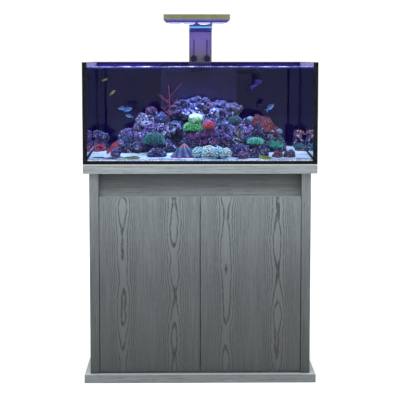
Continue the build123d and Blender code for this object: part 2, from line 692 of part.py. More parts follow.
CUP_FLOOR = 366.0
CUP_WALL = [(NECK + 0.6, CUP_FLOOR), (62, CUP_FLOOR), (62, CUP_FLOOR + 130), (0, CUP_FLOOR + 130)]
CUP_INNER = [
    (0, CUP_FLOOR + 126),
    (58.5, CUP_FLOOR + 126),
    (58.5, CUP_FLOOR + 4),
    (NECK + 0.6, CUP_FLOOR + 4),
]
with BuildPart() as skimmer_cup:
    with BuildSketch(Plane((SKIMMER_X, SKIMMER_Y, SUMP_FLOOR), x_dir=(1, 0, 0), z_dir=(0, -1, 0))):
        with BuildLine():
            Polyline(CUP_WALL + CUP_INNER, close=True)
        make_face()
    revolve(axis=Axis((SKIMMER_X, SKIMMER_Y, 0), (0, 0, 1)))
    add_tube(SKIMMER_X, SKIMMER_Y, (SUMP_FLOOR + CUP_FLOOR + 130, SUMP_FLOOR + CUP_FLOOR + 142), 12)
save(skimmer_cup, "skimmer_cup")

# ---- light clamp on the rear glass ---------------------------------------------------------------
ARM_X = 8.0
CLAMP_X = (ARM_X - ARM_WIDTH / 2 + 1, ARM_X + ARM_WIDTH / 2 - 1)
PAD = 2.0
JAW_FRONT = INNER_Y - PAD - 10.0
JAW_BOTTOM = RIM - 26.0
KNOB_Z = RIM + 14.0
REAR_FACE = DEPTH / 2 + BACKGROUND
STUD_RADIUS = 2.5
SLOT_Z = (KNOB_Z - STUD_RADIUS - 1, KNOB_Z + STUD_RADIUS + 1 + SLOT_TRAVEL + 8)
UPSTAND_TOP = SLOT_Z[1] + 6.0
SCREW_RADIUS = 4.0
SCREW_X = 34.0
SCREW_Z = RIM - 14.0
REAR_JAW = (REAR_FACE + 8.0, REAR_FACE + 20.0)
with BuildPart() as glass_clamp:
    add_box(CLAMP_X, (JAW_FRONT, INNER_Y - PAD), (JAW_BOTTOM, UPSTAND_TOP))
    add_box(CLAMP_X, (INNER_Y - PAD, REAR_JAW[1]), (RIM + PAD, RIM + PAD + 10))
    add_box(CLAMP_X, REAR_JAW, (JAW_BOTTOM, RIM + PAD))
    with BuildSketch(Plane.XZ.offset(-JAW_FRONT)):
        with Locations((ARM_X - SLOT_X, KNOB_Z), (ARM_X + SLOT_X, KNOB_Z)):
            Circle(STUD_RADIUS + 0.06)
    extrude(amount=-10, mode=Mode.SUBTRACT)
    with BuildSketch(Plane.XZ.offset(-REAR_JAW[1])):
        with Locations((ARM_X - SCREW_X, SCREW_Z), (ARM_X + SCREW_X, SCREW_Z)):
            Circle(SCREW_RADIUS + 0.06)
    extrude(amount=12, mode=Mode.SUBTRACT)
save(glass_clamp, "glass_clamp")

with BuildPart() as clamp_pads:
    add_box(CLAMP_X, (INNER_Y - PAD, INNER_Y), (JAW_BOTTOM, RIM - 0.8))
    add_box(CLAMP_X, (INNER_Y - PAD, REAR_FACE), (RIM, RIM + PAD))
    with BuildSketch(Plane.XZ.offset(-REAR_FACE - 3)):
        with Locations((ARM_X - SCREW_X, SCREW_Z), (ARM_X + SCREW_X, SCREW_Z)):
            Circle(11)
    extrude(amount=3)
save(clamp_pads, "clamp_pads")

PLATE_REAR = JAW_FRONT - 0.4
PLATE_FRONT = PLATE_REAR - ARM_SHEET


def screw_knob(name, x, z, stud, knob, radius, grips):
    """A fluted knob on a stud along Y; stud and knob are (start, end) pairs."""
    with BuildPart() as piece:
        with BuildSketch(Plane.XZ.offset(-stud[0])):
            with Locations((x, z)):
                Circle(grips[0])
        extrude(amount=stud[0] - stud[1])
        with BuildSketch(Plane.XZ.offset(-knob[0])):
            with Locations((x, z)):
                Circle(radius)
                with PolarLocations(radius + 1.5, grips[1]):
                    Circle(4, mode=Mode.SUBTRACT)
        extrude(amount=knob[0] - knob[1])
    return save(piece, name)


for side_name, sign in (("left", -1), ("right", 1)):
    screw_knob(
        f"{side_name}_locking_knob",
        ARM_X + sign * SLOT_X,
        KNOB_Z,
        (PLATE_FRONT - 0.4, INNER_Y - PAD - 1),
        (PLATE_FRONT - 18, PLATE_FRONT - 0.4),
        14.5,
        (STUD_RADIUS, 8),
    )
    screw_knob(
        f"{side_name}_clamp_screw",
        ARM_X + sign * SCREW_X,
        SCREW_Z,
        (REAR_FACE + 3.3, REAR_JAW[1] + 12),
        (REAR_JAW[1] + 10, REAR_JAW[1] + 24),
        14.0,
        (SCREW_RADIUS, 6),
    )

# ---- slotted upright and bracket -----------------------------------------------------------------
ARM_HALF = ARM_WIDTH / 2
FLANGE_DEPTH = 12.0
UPRIGHT_Z = (RIM - 4.0, LIGHT_BOTTOM - 26.0)
FLANGE_BOTTOM = RIM + 34.0
with BuildPart() as arm_upright:
    add_box((ARM_X - ARM_HALF, ARM_X + ARM_HALF), (PLATE_FRONT, PLATE_REAR), UPRIGHT_Z)
    for sign in (-1, 1):
        add_box(
            sorted((ARM_X + sign * ARM_HALF, ARM_X + sign * (ARM_HALF - ARM_SHEET))),
            (PLATE_FRONT - FLANGE_DEPTH, PLATE_FRONT),
            (FLANGE_BOTTOM, UPRIGHT_Z[1]),
        )
    with BuildSketch(Plane.XZ.offset(-PLATE_REAR)):
        with Locations([(ARM_X + sign * SLOT_X, (SLOT_Z[0] + SLOT_Z[1]) / 2) for sign in (-1, 1)]):
            SlotOverall(SLOT_Z[1] - SLOT_Z[0], SLOT_WIDTH, rotation=90)
    extrude(amount=ARM_SHEET, mode=Mode.SUBTRACT)
save(arm_upright, "arm_upright")

LIGHT_X = -11.0
LIGHT_Y = 0.0
LIGHT_REAR = LIGHT_Y + LIGHT_DEPTH / 2
BRACKET_STEP_Y = 196.0
with BuildPart() as arm_bracket:
    with BuildSketch(Plane.YZ.offset(ARM_X - ARM_HALF)):
        with BuildLine():
            Polyline(
                [
                    (PLATE_REAR, UPRIGHT_Z[1]),
                    (PLATE_REAR, LIGHT_BOTTOM),
                    (PLATE_REAR - 14, LIGHT_BOTTOM + 14),
                    (LIGHT_REAR + 12, LIGHT_BOTTOM + 28),
                    (LIGHT_REAR, LIGHT_BOTTOM + 28),
                    (LIGHT_REAR, LIGHT_BOTTOM + 10),
                    (BRACKET_STEP_Y, LIGHT_BOTTOM - 4),
                    (BRACKET_STEP_Y, LIGHT_BOTTOM - 10),
                    (PLATE_FRONT - FLANGE_DEPTH, UPRIGHT_Z[1]),
                ],
                close=True,
            )
        make_face()
    extrude(amount=ARM_WIDTH)
    chamfer(arm_bracket.edges().group_by(Axis.Z)[-1].filter_by(Axis.X), 3)
save(arm_bracket, "arm_bracket")

# ---- light ---------------------------------------------------------------------------------------
SHELL = 3.0
LIGHT_HALF = LIGHT_WIDTH / 2
LIGHT_TOP = LIGHT_BOTTOM + LIGHT_HEIGHT
TRAY = (LIGHT_BOTTOM + 7.0, LIGHT_BOTTOM + 21.0)
LENS_TOP = TRAY[0] + SHELL
LENS_SPOTS = [(LIGHT_X + (index - 1.5) * LENS_PITCH, LIGHT_Y) for index in range(4)]
FAN_RADIUS = 30.0
with BuildPart() as light_housing:
    add_box((LIGHT_X - LIGHT_HALF, LIGHT_X + LIGHT_HALF), (LIGHT_Y - LIGHT_DEPTH / 2, LIGHT_REAR), TRAY)
    chamfer(light_housing.edges().group_by(Axis.Z)[0], 9)
    add_box(
        (LIGHT_X - LIGHT_HALF + 10, LIGHT_X + LIGHT_HALF - 10),
        (LIGHT_Y - LIGHT_DEPTH / 2 + 10, LIGHT_REAR - 10),
        (TRAY[0] + SHELL, TRAY[1]),
        mode=Mode.SUBTRACT,
    )
    with BuildSketch(Plane.XY.offset(TRAY[0])):
        with Locations(LENS_SPOTS):
            Circle(LENS_RADIUS + 0.2)
    extrude(amount=SHELL, mode=Mode.SUBTRACT)
save(light_housing, "light_housing")

with BuildPart() as light_cover:
    add_box(
        (LIGHT_X - LIGHT_HALF, LIGHT_X + LIGHT_HALF),
        (LIGHT_Y - LIGHT_DEPTH / 2, LIGHT_REAR),
        (TRAY[1], LIGHT_TOP),
    )
    fillet(light_cover.edges().filter_by(Axis.Z), 2)
    chamfer(light_cover.edges().group_by(Axis.Z)[-1], 1.5)
    add_box(
        (LIGHT_X - LIGHT_HALF + SHELL + 4, LIGHT_X + LIGHT_HALF - SHELL - 4),
        (LIGHT_Y - LIGHT_DEPTH / 2 + SHELL + 4, LIGHT_REAR - SHELL - 4),
        (TRAY[1], LIGHT_TOP - SHELL),
        mode=Mode.SUBTRACT,
    )
    # vent over the fan
    with BuildSketch(Plane.XY.offset(LIGHT_TOP - SHELL)):
        with Locations((LIGHT_X, LIGHT_Y)):
            with GridLocations(8, 1, 7, 1):
                SlotOverall(44, 4, rotation=90)
    extrude(amount=SHELL, mode=Mode.SUBTRACT)
save(light_cover, "light_cover")

with BuildPart() as light_lenses:
    with BuildSketch(Plane.XY.offset(LIGHT_BOTTOM)):
        with Locations(LENS_SPOTS):
            Circle(LENS_RADIUS)
    extrude(amount=LENS_TOP - LIGHT_BOTTOM)
    fillet(light_lenses.edges().group_by(Axis.Z)[0], 6)
save(light_lenses, "light_lenses")

BOARD_TOP = LENS_TOP + 2.0
block("led_board", (LIGHT_X - 122, LIGHT_X + 122), (LIGHT_Y - 34, LIGHT_Y + 34), (LENS_TOP, BOARD_TOP))

FIN_BASE = 3.0
with BuildPart() as heat_sink:
    add_box((LIGHT_X - 118, LIGHT_X + 118), (LIGHT_Y - 34, LIGHT_Y + 34), (BOARD_TOP, BOARD_TOP + FIN_BASE))
    for sign in (-1, 1):
        with BuildSketch(Plane.XY.offset(BOARD_TOP + FIN_BASE)):
            with Locations((LIGHT_X + sign * 78, LIGHT_Y)):
                with GridLocations(8, 1, 10, 1):
                    Rectangle(2, 68)
        extrude(amount=11)
save(heat_sink, "heat_sink")

FAN = (BOARD_TOP + FIN_BASE + 4.0, LIGHT_TOP - SHELL - 1.5)
with BuildPart() as fan_rotor:
    add_tube(LIGHT_X, LIGHT_Y, FAN, 10)
    with BuildSketch(Plane.XY.offset(FAN[0])):
        with Locations((LIGHT_X, LIGHT_Y)):
            with PolarLocations(19, 7):
                Rectangle(20, 3, rotation=25)
            Circle(11)
    extrude(amount=FAN[1] - FAN[0])
save(fan_rotor, "fan_rotor")
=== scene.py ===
"""The visual model of a reef aquarium on its cabinet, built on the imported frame. Metres."""
import json
import math
import random

import bmesh
import bpy
from mathutils import Matrix, Vector, noise
from mathutils.bvhtree import BVHTree

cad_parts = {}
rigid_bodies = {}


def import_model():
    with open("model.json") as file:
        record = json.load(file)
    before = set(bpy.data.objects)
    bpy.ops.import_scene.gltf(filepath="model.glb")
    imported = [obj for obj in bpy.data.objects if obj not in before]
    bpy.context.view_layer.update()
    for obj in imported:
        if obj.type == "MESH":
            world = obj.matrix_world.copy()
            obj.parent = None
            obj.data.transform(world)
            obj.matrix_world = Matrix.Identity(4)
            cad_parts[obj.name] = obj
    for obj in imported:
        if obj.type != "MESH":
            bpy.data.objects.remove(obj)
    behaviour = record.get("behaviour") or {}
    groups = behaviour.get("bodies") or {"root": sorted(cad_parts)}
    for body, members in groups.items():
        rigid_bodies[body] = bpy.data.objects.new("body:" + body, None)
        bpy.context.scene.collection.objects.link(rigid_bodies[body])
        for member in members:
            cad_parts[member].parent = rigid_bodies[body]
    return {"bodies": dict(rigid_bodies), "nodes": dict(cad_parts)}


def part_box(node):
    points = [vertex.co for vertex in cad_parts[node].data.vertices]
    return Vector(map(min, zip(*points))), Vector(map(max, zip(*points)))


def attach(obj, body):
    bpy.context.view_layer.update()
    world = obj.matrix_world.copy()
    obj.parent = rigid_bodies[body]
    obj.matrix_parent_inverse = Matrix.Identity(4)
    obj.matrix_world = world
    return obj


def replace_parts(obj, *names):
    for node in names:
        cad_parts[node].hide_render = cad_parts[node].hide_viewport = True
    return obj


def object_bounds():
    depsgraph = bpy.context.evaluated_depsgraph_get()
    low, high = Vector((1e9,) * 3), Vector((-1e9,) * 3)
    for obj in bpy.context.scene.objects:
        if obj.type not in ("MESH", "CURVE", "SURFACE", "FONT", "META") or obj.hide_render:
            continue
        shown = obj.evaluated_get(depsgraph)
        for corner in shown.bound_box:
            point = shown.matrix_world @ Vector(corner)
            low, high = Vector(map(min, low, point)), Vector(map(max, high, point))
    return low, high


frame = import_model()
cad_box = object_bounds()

scene = bpy.context.scene

# ---- places taken from the frame -----------------------------------------------------------------
FLOOR = cad_box[0].z
TANK_LOW, TANK_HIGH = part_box("front_glass")
INNER_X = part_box("right_glass")[0].x
INNER_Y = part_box("rear_glass")[0].y
BASE_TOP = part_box("base_glass")[1].z
SAND_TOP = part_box("sand_bed")[1].z
BED = -8  # the sand near the front glass, in mm from the top of the sand bed
# painted shade: the rocks' colours dim above this height, nearest the lamps
SUMMIT = SAND_TOP + 0.10  # where the rocks' dark tops begin
SUMMIT_FADE = 0.05
RIM = TANK_HIGH.z
WATER = RIM - 0.018
WEIR_LOW, WEIR_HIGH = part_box("weir_box")
DOOR_LOW, DOOR_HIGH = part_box("left_door")
ARM_LOW, ARM_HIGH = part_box("arm_upright")
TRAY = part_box("light_housing")[0].z
LENS_LOW, LENS_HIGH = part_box("light_lenses")
LENS_X, LENS_Y = (LENS_LOW.x + LENS_HIGH.x) / 2, (LENS_LOW.y + LENS_HIGH.y) / 2
LENS_PLACES = [LENS_X + (k - 1.5) * 0.060 for k in range(4)]
SAND_RISE = 0.22  # the depth over which the sand rises behind the front glass


def mm(*values):
    return [value / 1000 for value in values]


def spot(x, y, height):
    """A place in the tank: millimetres from its middle and above the sand."""
    return Vector((x / 1000, y / 1000, SAND_TOP + height / 1000))


def within(value, low=0.0, high=1.0):
    return min(high, max(low, value))


def turns(count):
    """The angles that divide a full turn."""
    return [math.tau * k / count for k in range(count)]


# ---- colours and node materials --------------------------------------------------------------------
def rgb(r, g, b):
    """An sRGB colour out of 255 as the linear colour that a socket takes."""
    def linear(c):
        return ((c / 255 + 0.055) / 1.055) ** 2.4 if c > 10 else c / 255 / 12.92

    return (linear(r), linear(g), linear(b), 1.0)


def scaled(colour, share, lift=0.0):
    return tuple(min(1.0, c * share + lift) for c in colour[:3]) + (1,)


def blended(a, b, share):
    """The colour that far on the way from a to b."""
    return tuple(p + (q - p) * share for p, q in zip(a[:3], b[:3])) + (1,)


class Graph:
    """A material's node tree, with short calls for the nodes used here."""

    def __init__(self, name):
        self.material = bpy.data.materials.new(name)
        self.material.use_nodes = True
        self.tree = self.material.node_tree
        self.tree.nodes.clear()
        self.output = self.tree.nodes.new("ShaderNodeOutputMaterial")
        self.place = self.add("ShaderNodeTexCoord").outputs["Object"]

    def put(self, socket, value):
        if isinstance(value, bpy.types.NodeSocket):
            self.tree.links.new(value, socket)
        else:
            socket.default_value = value

    def add(self, kind, inputs=None, **props):
        node = self.tree.nodes.new(kind)
        for key, value in props.items():
            setattr(node, key, value)
        for key, value in (inputs or {}).items():
            self.put(node.inputs[key], value)
        return node

    def shader(self, kind, inputs):
        return self.add("ShaderNode" + kind, inputs).outputs[0]

    def axis(self, index, vector=None):
        """The x, y or z of the place, or of another vector."""
        return self.add("ShaderNodeSeparateXYZ", {"Vector": vector or self.place}).outputs[index]

    def combined(self, x, y, z):
        return self.add("ShaderNodeCombineXYZ", {"X": x, "Y": y, "Z": z}).outputs[0]

    def stretched(self, *scale):
        return self.add("ShaderNodeMapping", {"Vector": self.place, "Scale": scale}).outputs[0]

    def noise(self, vector, scale, detail=4.0, rough=0.55, distort=0.0):
        inputs = {"Vector": vector, "Scale": scale, "Detail": detail, "Roughness": rough}
        inputs["Distortion"] = distort
        return self.add("ShaderNodeTexNoise", inputs).outputs["Fac"]

    def cells(self, scale):
        return self.add("ShaderNodeTexVoronoi", {"Vector": self.place, "Scale": scale}).outputs["Distance"]

    def math(self, operation, *values, clamp=False):
        inputs = dict(enumerate(values))
        return self.add("ShaderNodeMath", inputs, operation=operation, use_clamp=clamp).outputs[0]

    def times(self, a, b, clamp=False):
        return self.math("MULTIPLY", a, b, clamp=clamp)

    def plus(self, a, b, clamp=False):
        return self.math("ADD", a, b, clamp=clamp)

    def minus(self, a, b):
        return self.math("SUBTRACT", a, b)

    def above(self, a, b):
        return self.math("GREATER_THAN", a, b)

    def ramp(self, fac, *stops):
        node = self.add("ShaderNodeValToRGB", {"Fac": fac})
        elements = node.color_ramp.elements
        while len(elements) < len(stops):
            elements.new(0.5)
        for element, (position, colour) in zip(elements, stops):
            element.position = position
            element.color = colour if hasattr(colour, "__len__") else (colour, colour, colour, 1)
        return node.outputs[0]

    def mix(self, fac, a, b, blend="MIX"):
        node = self.add("ShaderNodeMix", data_type="RGBA", blend_type=blend)
        for index, value in ((0, fac), (6, a), (7, b)):
            self.put(node.inputs[index], value)
        return node.outputs[2]

    def bump(self, height, distance=0.001, strength=0.5):
        return self.shader("Bump", {"Height": height, "Distance": distance, "Strength": strength})

    def normal(self, index):
        """The x, y or z of the surface's own normal."""
        return self.axis(index, self.add("ShaderNodeNewGeometry").outputs["True Normal"])

    def tint(self, output="Color"):
        """The mesh's colours, with painted shade multiplied into them; their Alpha is the painted light
        share.
        """
        return self.add("ShaderNodeAttribute", attribute_name="tint").outputs[output]

    def span(self, value, low, high):
        """0 where the value is low and 1 where it is high."""
        return self.add("ShaderNodeMapRange", {"Value": value, "From Min": low, "From Max": high}).outputs[0]

    def height(self, low, high):
        return self.span(self.axis(2), low, high)

    def away(self, shade, plain):
        """Plain colour on faces turned up or to the back; the shade on the other faces is painted violet lamp
        light.
        """
        turned = self.math("MAXIMUM", self.normal(1), self.normal(2))
        return self.mix(self.ramp(turned, (0.15, 0.0), (0.5, 1.0)), shade, plain)

    def surface(self, shader):
        self.tree.links.new(shader, self.output.inputs["Surface"])
        return self.material

    def principled(self, colour, rough=0.5, normal=None, metallic=0.0, **more):
        inputs = {"Base Color": colour, "Roughness": rough, "Metallic": metallic}
        if normal is not None:
            inputs["Normal"] = normal
        inputs.update({key.replace("_", " "): value for key, value in more.items()})
        return self.surface(self.shader("BsdfPrincipled", inputs))

    def painted_glow(self, colour, strength, rough, normal=None):
        """Painted glow: a surface that also gives off a little of its own colour, though it is no lamp."""
        return self.principled(colour, rough, normal, Emission_Color=colour, Emission_Strength=strength)


def wood(name, upright, lit_tone=1.0, figured=False, seed=0.0, shade_fall=None):
    """Embossed charcoal-grey oak foil, with its grain upright or level.

    The last argument paints shade that darkens it downwards: the lowest height, the highest, and the
    share of colour left at the lowest. The third argument makes lighter or darker copies of one foil as
    painted light, and faces turned up are painted paler."""
    g = Graph(name)
    x, y, z = (g.axis(i) for i in range(3))
    along = z if upright else x
    across = g.plus(x if upright else z, g.minus(y, DOOR_LOW.y))

    # painted light: the third argument makes lighter or darker copies of one foil
    def grey(*levels):
        return rgb(*(level * lit_tone for level in levels))

    def streaks(fine, length, detail=3.0, shift=0.0):
        grid = g.combined(g.times(across, fine), g.times(along, length), seed + shift)
        return g.noise(grid, 1.0, detail, 0.6)

    mid = streaks(170.0, 5.0, 3.0, 4.0)
    pores = streaks(620.0, 30.0, 2.0, 9.0)
    lines = streaks(330.0, 7.0, 2.0, 17.0)
    shade = g.plus(g.times(streaks(26.0, 1.6), 0.4), g.times(mid, 0.6))
    colour = g.ramp(shade, (0.34, grey(94, 101, 104)), (0.66, grey(118, 126, 129)))
    cut = g.ramp(lines, (0.34, 1.0), (0.43, 0.0))
    prick = g.ramp(pores, (0.36, 1.0), (0.48, 0.0))
    grooves = g.plus(g.times(cut, 0.42), g.times(prick, 0.34), clamp=True)
    if figured:
        # flat-sawn figure: contour lines of a ridge that rises and falls along each board, so that arches
        # and long closed loops come in columns one board apart
        column, loop = 0.200, 0.021
        cell = g.math("FLOOR", g.math("DIVIDE", across, column))
        centre = g.times(g.plus(cell, 0.5), column)
        sway = g.times(g.minus(streaks(0.0, 2.2, 1.0, 23.0), 0.5), 0.022)
        shake = g.times(g.minus(streaks(20.0, 26.0, 2.0, 29.0), 0.5), 0.012)
        off = g.math("ABSOLUTE", g.plus(g.minus(across, centre), g.plus(sway, shake)))
        share = g.math("DIVIDE", off, column)
        bowl = g.math("POWER", g.math("DIVIDE", off, loop), 1.75)
        ridge = g.noise(g.combined(g.times(along, 3.3), g.times(cell, 7.31), seed + 2.0), 1.0, 1.5, 0.5)
        saw = g.math("FRACT", g.plus(bowl, g.times(ridge, 7.0)))
        line = g.ramp(saw, (0.0, 0.7), (0.07, 0.0), (0.70, 0.0), (0.86, 1.0), (1.0, 1.0))
        near = g.ramp(share, (0.0, 1.0), (0.20, 0.95), (0.30, 0.45), (0.42, 0.08))
        broken = g.ramp(streaks(90.0, 40.0, 2.0, 31.0), (0.32, 0.35), (0.55, 1.0))
        quiet = g.minus(1.0, g.times(near, 0.55))
        grooves = g.plus(g.times(grooves, quiet), g.times(g.times(line, near), broken), clamp=True)
        pale = g.times(g.ramp(share, (0.0, 1.0), (0.16, 0.2), (0.24, 0.0)), 0.35)
        colour = g.mix(pale, colour, grey(132, 141, 144))
    colour = g.mix(g.times(grooves, 0.90), colour, grey(34, 38, 42))
    # painted shade: darker towards one height
    if shade_fall:
        low, high, dark = shade_fall
        dimmed = g.ramp(g.height(low, high), (0.0, dark), (0.55, 0.25 + 0.9 * dark), (1.0, 1.0))
        colour = g.mix(1.0, colour, dimmed, "MULTIPLY")
    # painted light: faces turned up are paler
    colour = g.mix(g.times(g.above(g.normal(2), 0.9), 0.75), colour, rgb(196, 201, 201))
    rough = g.plus(g.times(pores, 0.16), 0.46)
    return g.principled(colour, rough, g.bump(g.minus(shade, grooves), 0.0007, 0.55))


def moulded(
    name, colour, rough=0.42, grain=1400.0, depth=0.5, tint=0.12, metallic=0.0, foot=None, plain=None, **more
):
    """Moulded plastic, rubber or anodised metal: a fine texture, a little mottling and duller patches.

    foot is painted lamp light: the colour that the lowest part takes, the height it fades from
    and the height it ends at."""
    g = Graph(name)
    patches = g.noise(g.place, 22.0, 3.0)
    shade = g.ramp(patches, (0.35, scaled(colour, 1 - tint)), (0.65, scaled(colour, 1 + tint, 0.004)))
    # painted lamp light on the lowest part and on faces towards the lamps
    if foot:
        shade = g.mix(g.height(*foot[1:]), foot[0], shade)
    if plain:
        shade = g.away(shade, plain)
    dull = g.plus(g.times(patches, 0.14), rough - 0.07)
    return g.principled(shade, dull, g.bump(g.noise(g.place, grain, 2.0), 0.0002, depth), metallic, **more)


def brushed(name, colour, axis, rough=0.34, fade=None, front=None, plain=None):
    """Brushed or anodised metal with its brushing along one axis (0, 1 or 2).

    fade paints lamp light: the colour at the top, the height it starts from and the height where it is full;
    front is the colour of forward faces: a painted highlight, bright in the lamps' light."""
    g = Graph(name)
    lines = g.noise(g.stretched(*(12.0 if index == axis else 900.0 for index in range(3))), 1.0, 3.0)
    bright = scaled(colour, 1.7)
    if fade:
        # painted lamp light: violet towards the top, with violet streaks
        colour = g.ramp(g.height(*fade[1:]), (0.2, colour), (0.8, fade[0]))
        bright = (0.4, 0.36, 0.6, 1)
    shade = g.mix(g.times(lines, 0.35), colour, bright)
    # painted highlight on forward faces
    if front:
        shade = g.mix(g.math("LESS_THAN", g.normal(1), -0.9), shade, front)
    if plain:
        shade = g.away(shade, plain)
    dull = g.plus(g.times(g.noise(g.place, 30.0, 4.0), 0.18), rough - 0.05)
    return g.principled(shade, dull, g.bump(lines, 0.0002, 0.35), 1.0)


def clear(name, tint, edge, edge_axis=None, haze=0.0):
    """Clear glass or acrylic that light passes straight through.

    Its polished edges are coloured where edge_axis says which axis its faces look along."""
    g = Graph(name)
    facing = g.add("ShaderNodeLayerWeight", {"Blend": 0.5}).outputs["Facing"]
    smear = g.noise(g.place, 14.0, 4.0)
    fac = g.plus(g.times(g.math("POWER", facing, 5.0), 0.75), 0.0004, clamp=True)
    shine = g.shader("BsdfGlossy", {"Color": (1, 1, 1, 1), "Roughness": g.times(smear, 0.05)})
    shader = g.shader("MixShader", {0: fac, 1: g.shader("BsdfTransparent", {"Color": tint}), 2: shine})
    if haze:
        film = g.shader("BsdfDiffuse", {"Color": edge})
        streaky = g.ramp(g.noise(g.stretched(60, 60, 5), 1.0, 3.0), (0.4, 0.3), (0.7, 1.0))
        shader = g.shader("MixShader", {0: g.times(streaky, haze), 1: shader, 2: film})
    if edge_axis is not None:
        on_face = g.above(g.math("ABSOLUTE", g.normal(edge_axis)), 0.9)
        shade = g.ramp(smear, (0.3, edge), (0.7, scaled(edge, 0.7)))
        gloss = {"Base Color": shade, "Roughness": 0.2, "IOR": 1.5, "Specular IOR Level": 0.05}
        shader = g.shader("MixShader", {0: on_face, 1: g.shader("BsdfPrincipled", gloss), 2: shader})
    return g.surface(shader)


def foam():
    g = Graph("mat_foam")
    bubbles = g.cells(700.0)
    shade = g.ramp(bubbles, (0.1, rgb(200, 202, 202)), (0.8, rgb(150, 153, 154)))
    return g.principled(shade, 0.95, g.bump(bubbles, 0.0005, 0.8))


def felt():
    g = Graph("sock_felt")
    fluff = g.noise(g.place, 500.0, 6.0, 0.7)
    shade = g.mix(g.times(g.noise(g.place, 18.0, 4.0), 0.6), rgb(226, 225, 216), rgb(176, 168, 140))
    shade = g.mix(g.times(fluff, 0.35), shade, rgb(150, 148, 140))
    return g.principled(shade, 0.95, g.bump(fluff, 0.0012, 0.8), Sheen_Weight=0.3)


def emitters():
    """Small lit diodes, a little uneven."""
    g = Graph("emitters")
    lit = g.times(g.plus(g.times(g.noise(g.place, 160.0, 2.0), 0.4), 0.8), 5.0)
    colour = (0.75, 0.85, 1, 1)
    return g.principled((0.8, 0.85, 0.95, 1), 0.15, Emission_Color=colour, Emission_Strength=lit)


def lit_lens():
    """A lit lens: white above, violet at its rounded lower edge."""
    g = Graph("lens_lit")
    rise = g.height(LENS_LOW.z, LENS_HIGH.z)
    colour = g.ramp(rise, (0.0, rgb(64, 54, 176)), (0.20, rgb(112, 102, 222)), (0.36, rgb(246, 246, 255)))
    return g.principled((0.1, 0.1, 0.14, 1), 0.15, Emission_Color=colour, Emission_Strength=1.0)


def backdrop():
    """The black film on the rear pane: black behind, and painted blue-violet lamp light
    on its face towards the water.
    """
    g = Graph("background_film")
    cloudy = g.noise(g.place, 9.0, 3.0)
    # painted lamp light on the face towards the water
    inner = g.ramp(cloudy, (0.35, rgb(52, 32, 122)), (0.65, rgb(60, 37, 134)))
    outer = g.ramp(cloudy, (0.35, rgb(15, 15, 20)), (0.65, rgb(22, 22, 28)))
    return g.principled(g.mix(g.above(g.normal(1), -0.5), inner, outer), 0.6, Specular_IOR_Level=0.1)


def silicone():
    """Black sealant: black at the front, with painted dark blue light on it towards the rear."""
    g = Graph("black_silicone")
    depth = g.span(g.axis(1), -INNER_Y, INNER_Y)
    black, dusky = (0.003, 0.003, 0.005, 1), (0.006, 0.005, 0.014, 1)
    # painted dark blue light towards the rear
    shade = g.ramp(depth, (0.0, black), (0.7, dusky), (0.95, rgb(30, 20, 72)))
    skin = g.bump(g.noise(g.place, 300.0, 2.0), 0.0002, 0.4)
    return g.principled(shade, 0.35, skin, Specular_IOR_Level=0.15)


def flesh(name, dark, mid, light, scale=60.0, spots=None, glow=0.10):
    """Coral flesh: three colours over warped noise, with patches of paler dots, deepened by the painted shade
    in the mesh's colours and with a faint painted glow.

    spots is how fine the dots are, their colour and their size."""
    g = Graph(name)
    height = g.noise(g.place, scale, 5.0, 0.62, 0.6)
    shade = g.ramp(height, (0.3, rgb(*dark)), (0.5, rgb(*mid)), (0.7, rgb(*light)))
    if spots:
        fine, colour, size = spots
        mask = g.ramp(g.cells(fine), (0.0, 1.0), (size, 1.0), (min(1.0, size + 0.16), 0.0))
        mask = g.times(mask, g.ramp(g.noise(g.place, fine * 0.22, 3.0), (0.40, 0.0), (0.56, 1.0)))
        shade = g.mix(mask, shade, rgb(*colour))
        height = g.plus(height, g.times(mask, 0.5))
    return g.painted_glow(g.mix(1.0, shade, g.tint(), "MULTIPLY"), glow, 0.45, g.bump(height, 0.0015, 0.8))


REEF_DOTS = ((72, 116, 226), (176, 196, 252), (216, 222, 255), (150, 124, 226))


def crust(name, scale=1.0, cover=0.0, hues=REEF_DOTS):
    """Live rock: the mesh's broad colours with their painted shade, under crisp pale dots, painted shade in
    the pores and fine mottling, with a faint painted glow.
    """
    g = Graph(name)
    fine = g.noise(g.place, 105.0 * scale, 3.0, 0.60, 0.9)
    grain = g.noise(g.place, 300.0, 3.0, 0.6)
    where = g.ramp(g.noise(g.place, 15.0, 3.0, 0.6), (0.43 - cover, 0.0), (0.55 - cover, 1.0))
    thick = g.ramp(fine, (0.550, 0.0), (0.565, 1.0))
    dots = g.math("MAXIMUM", g.times(thick, where), g.ramp(fine, (0.61, 0.0), (0.625, 1.0)))
    # fewer dots where the painted shade in the mesh's colours is deep
    dots = g.times(dots, g.times(g.tint("Alpha"), 1.3), clamp=True)
    hue = g.ramp(g.noise(g.place, 55.0, 2.0), *((0.36 + 0.10 * k, rgb(*hue)) for k, hue in enumerate(hues)))
    # painted shade: dimmer dots near the summit, nearest the lamps
    if hues is REEF_DOTS:
        hue = g.mix(g.times(g.height(SUMMIT, SUMMIT + SUMMIT_FADE), 0.8), hue, rgb(70, 76, 150))
    # painted shade in the pores, which the bump also sinks
    pores = g.ramp(g.noise(g.place, 90.0 * scale, 3.0, 0.6, 0.5), (0.41, 1.0), (0.47, 0.0))
    shade = g.mix(g.times(pores, 0.75), g.tint(), rgb(12, 8, 26))
    shade = g.mix(g.times(g.ramp(grain, (0.38, 1.0), (0.5, 0.0)), 0.6), shade, rgb(14, 10, 34))
    shade = g.mix(g.times(g.ramp(grain, (0.52, 0.0), (0.62, 1.0)), 0.35), shade, rgb(84, 92, 190))
    height = g.plus(g.minus(g.times(dots, 0.6), pores), g.times(grain, 0.5))
    return g.painted_glow(g.mix(dots, shade, hue), 0.14, 0.65, g.bump(height, 0.005, 1.0))


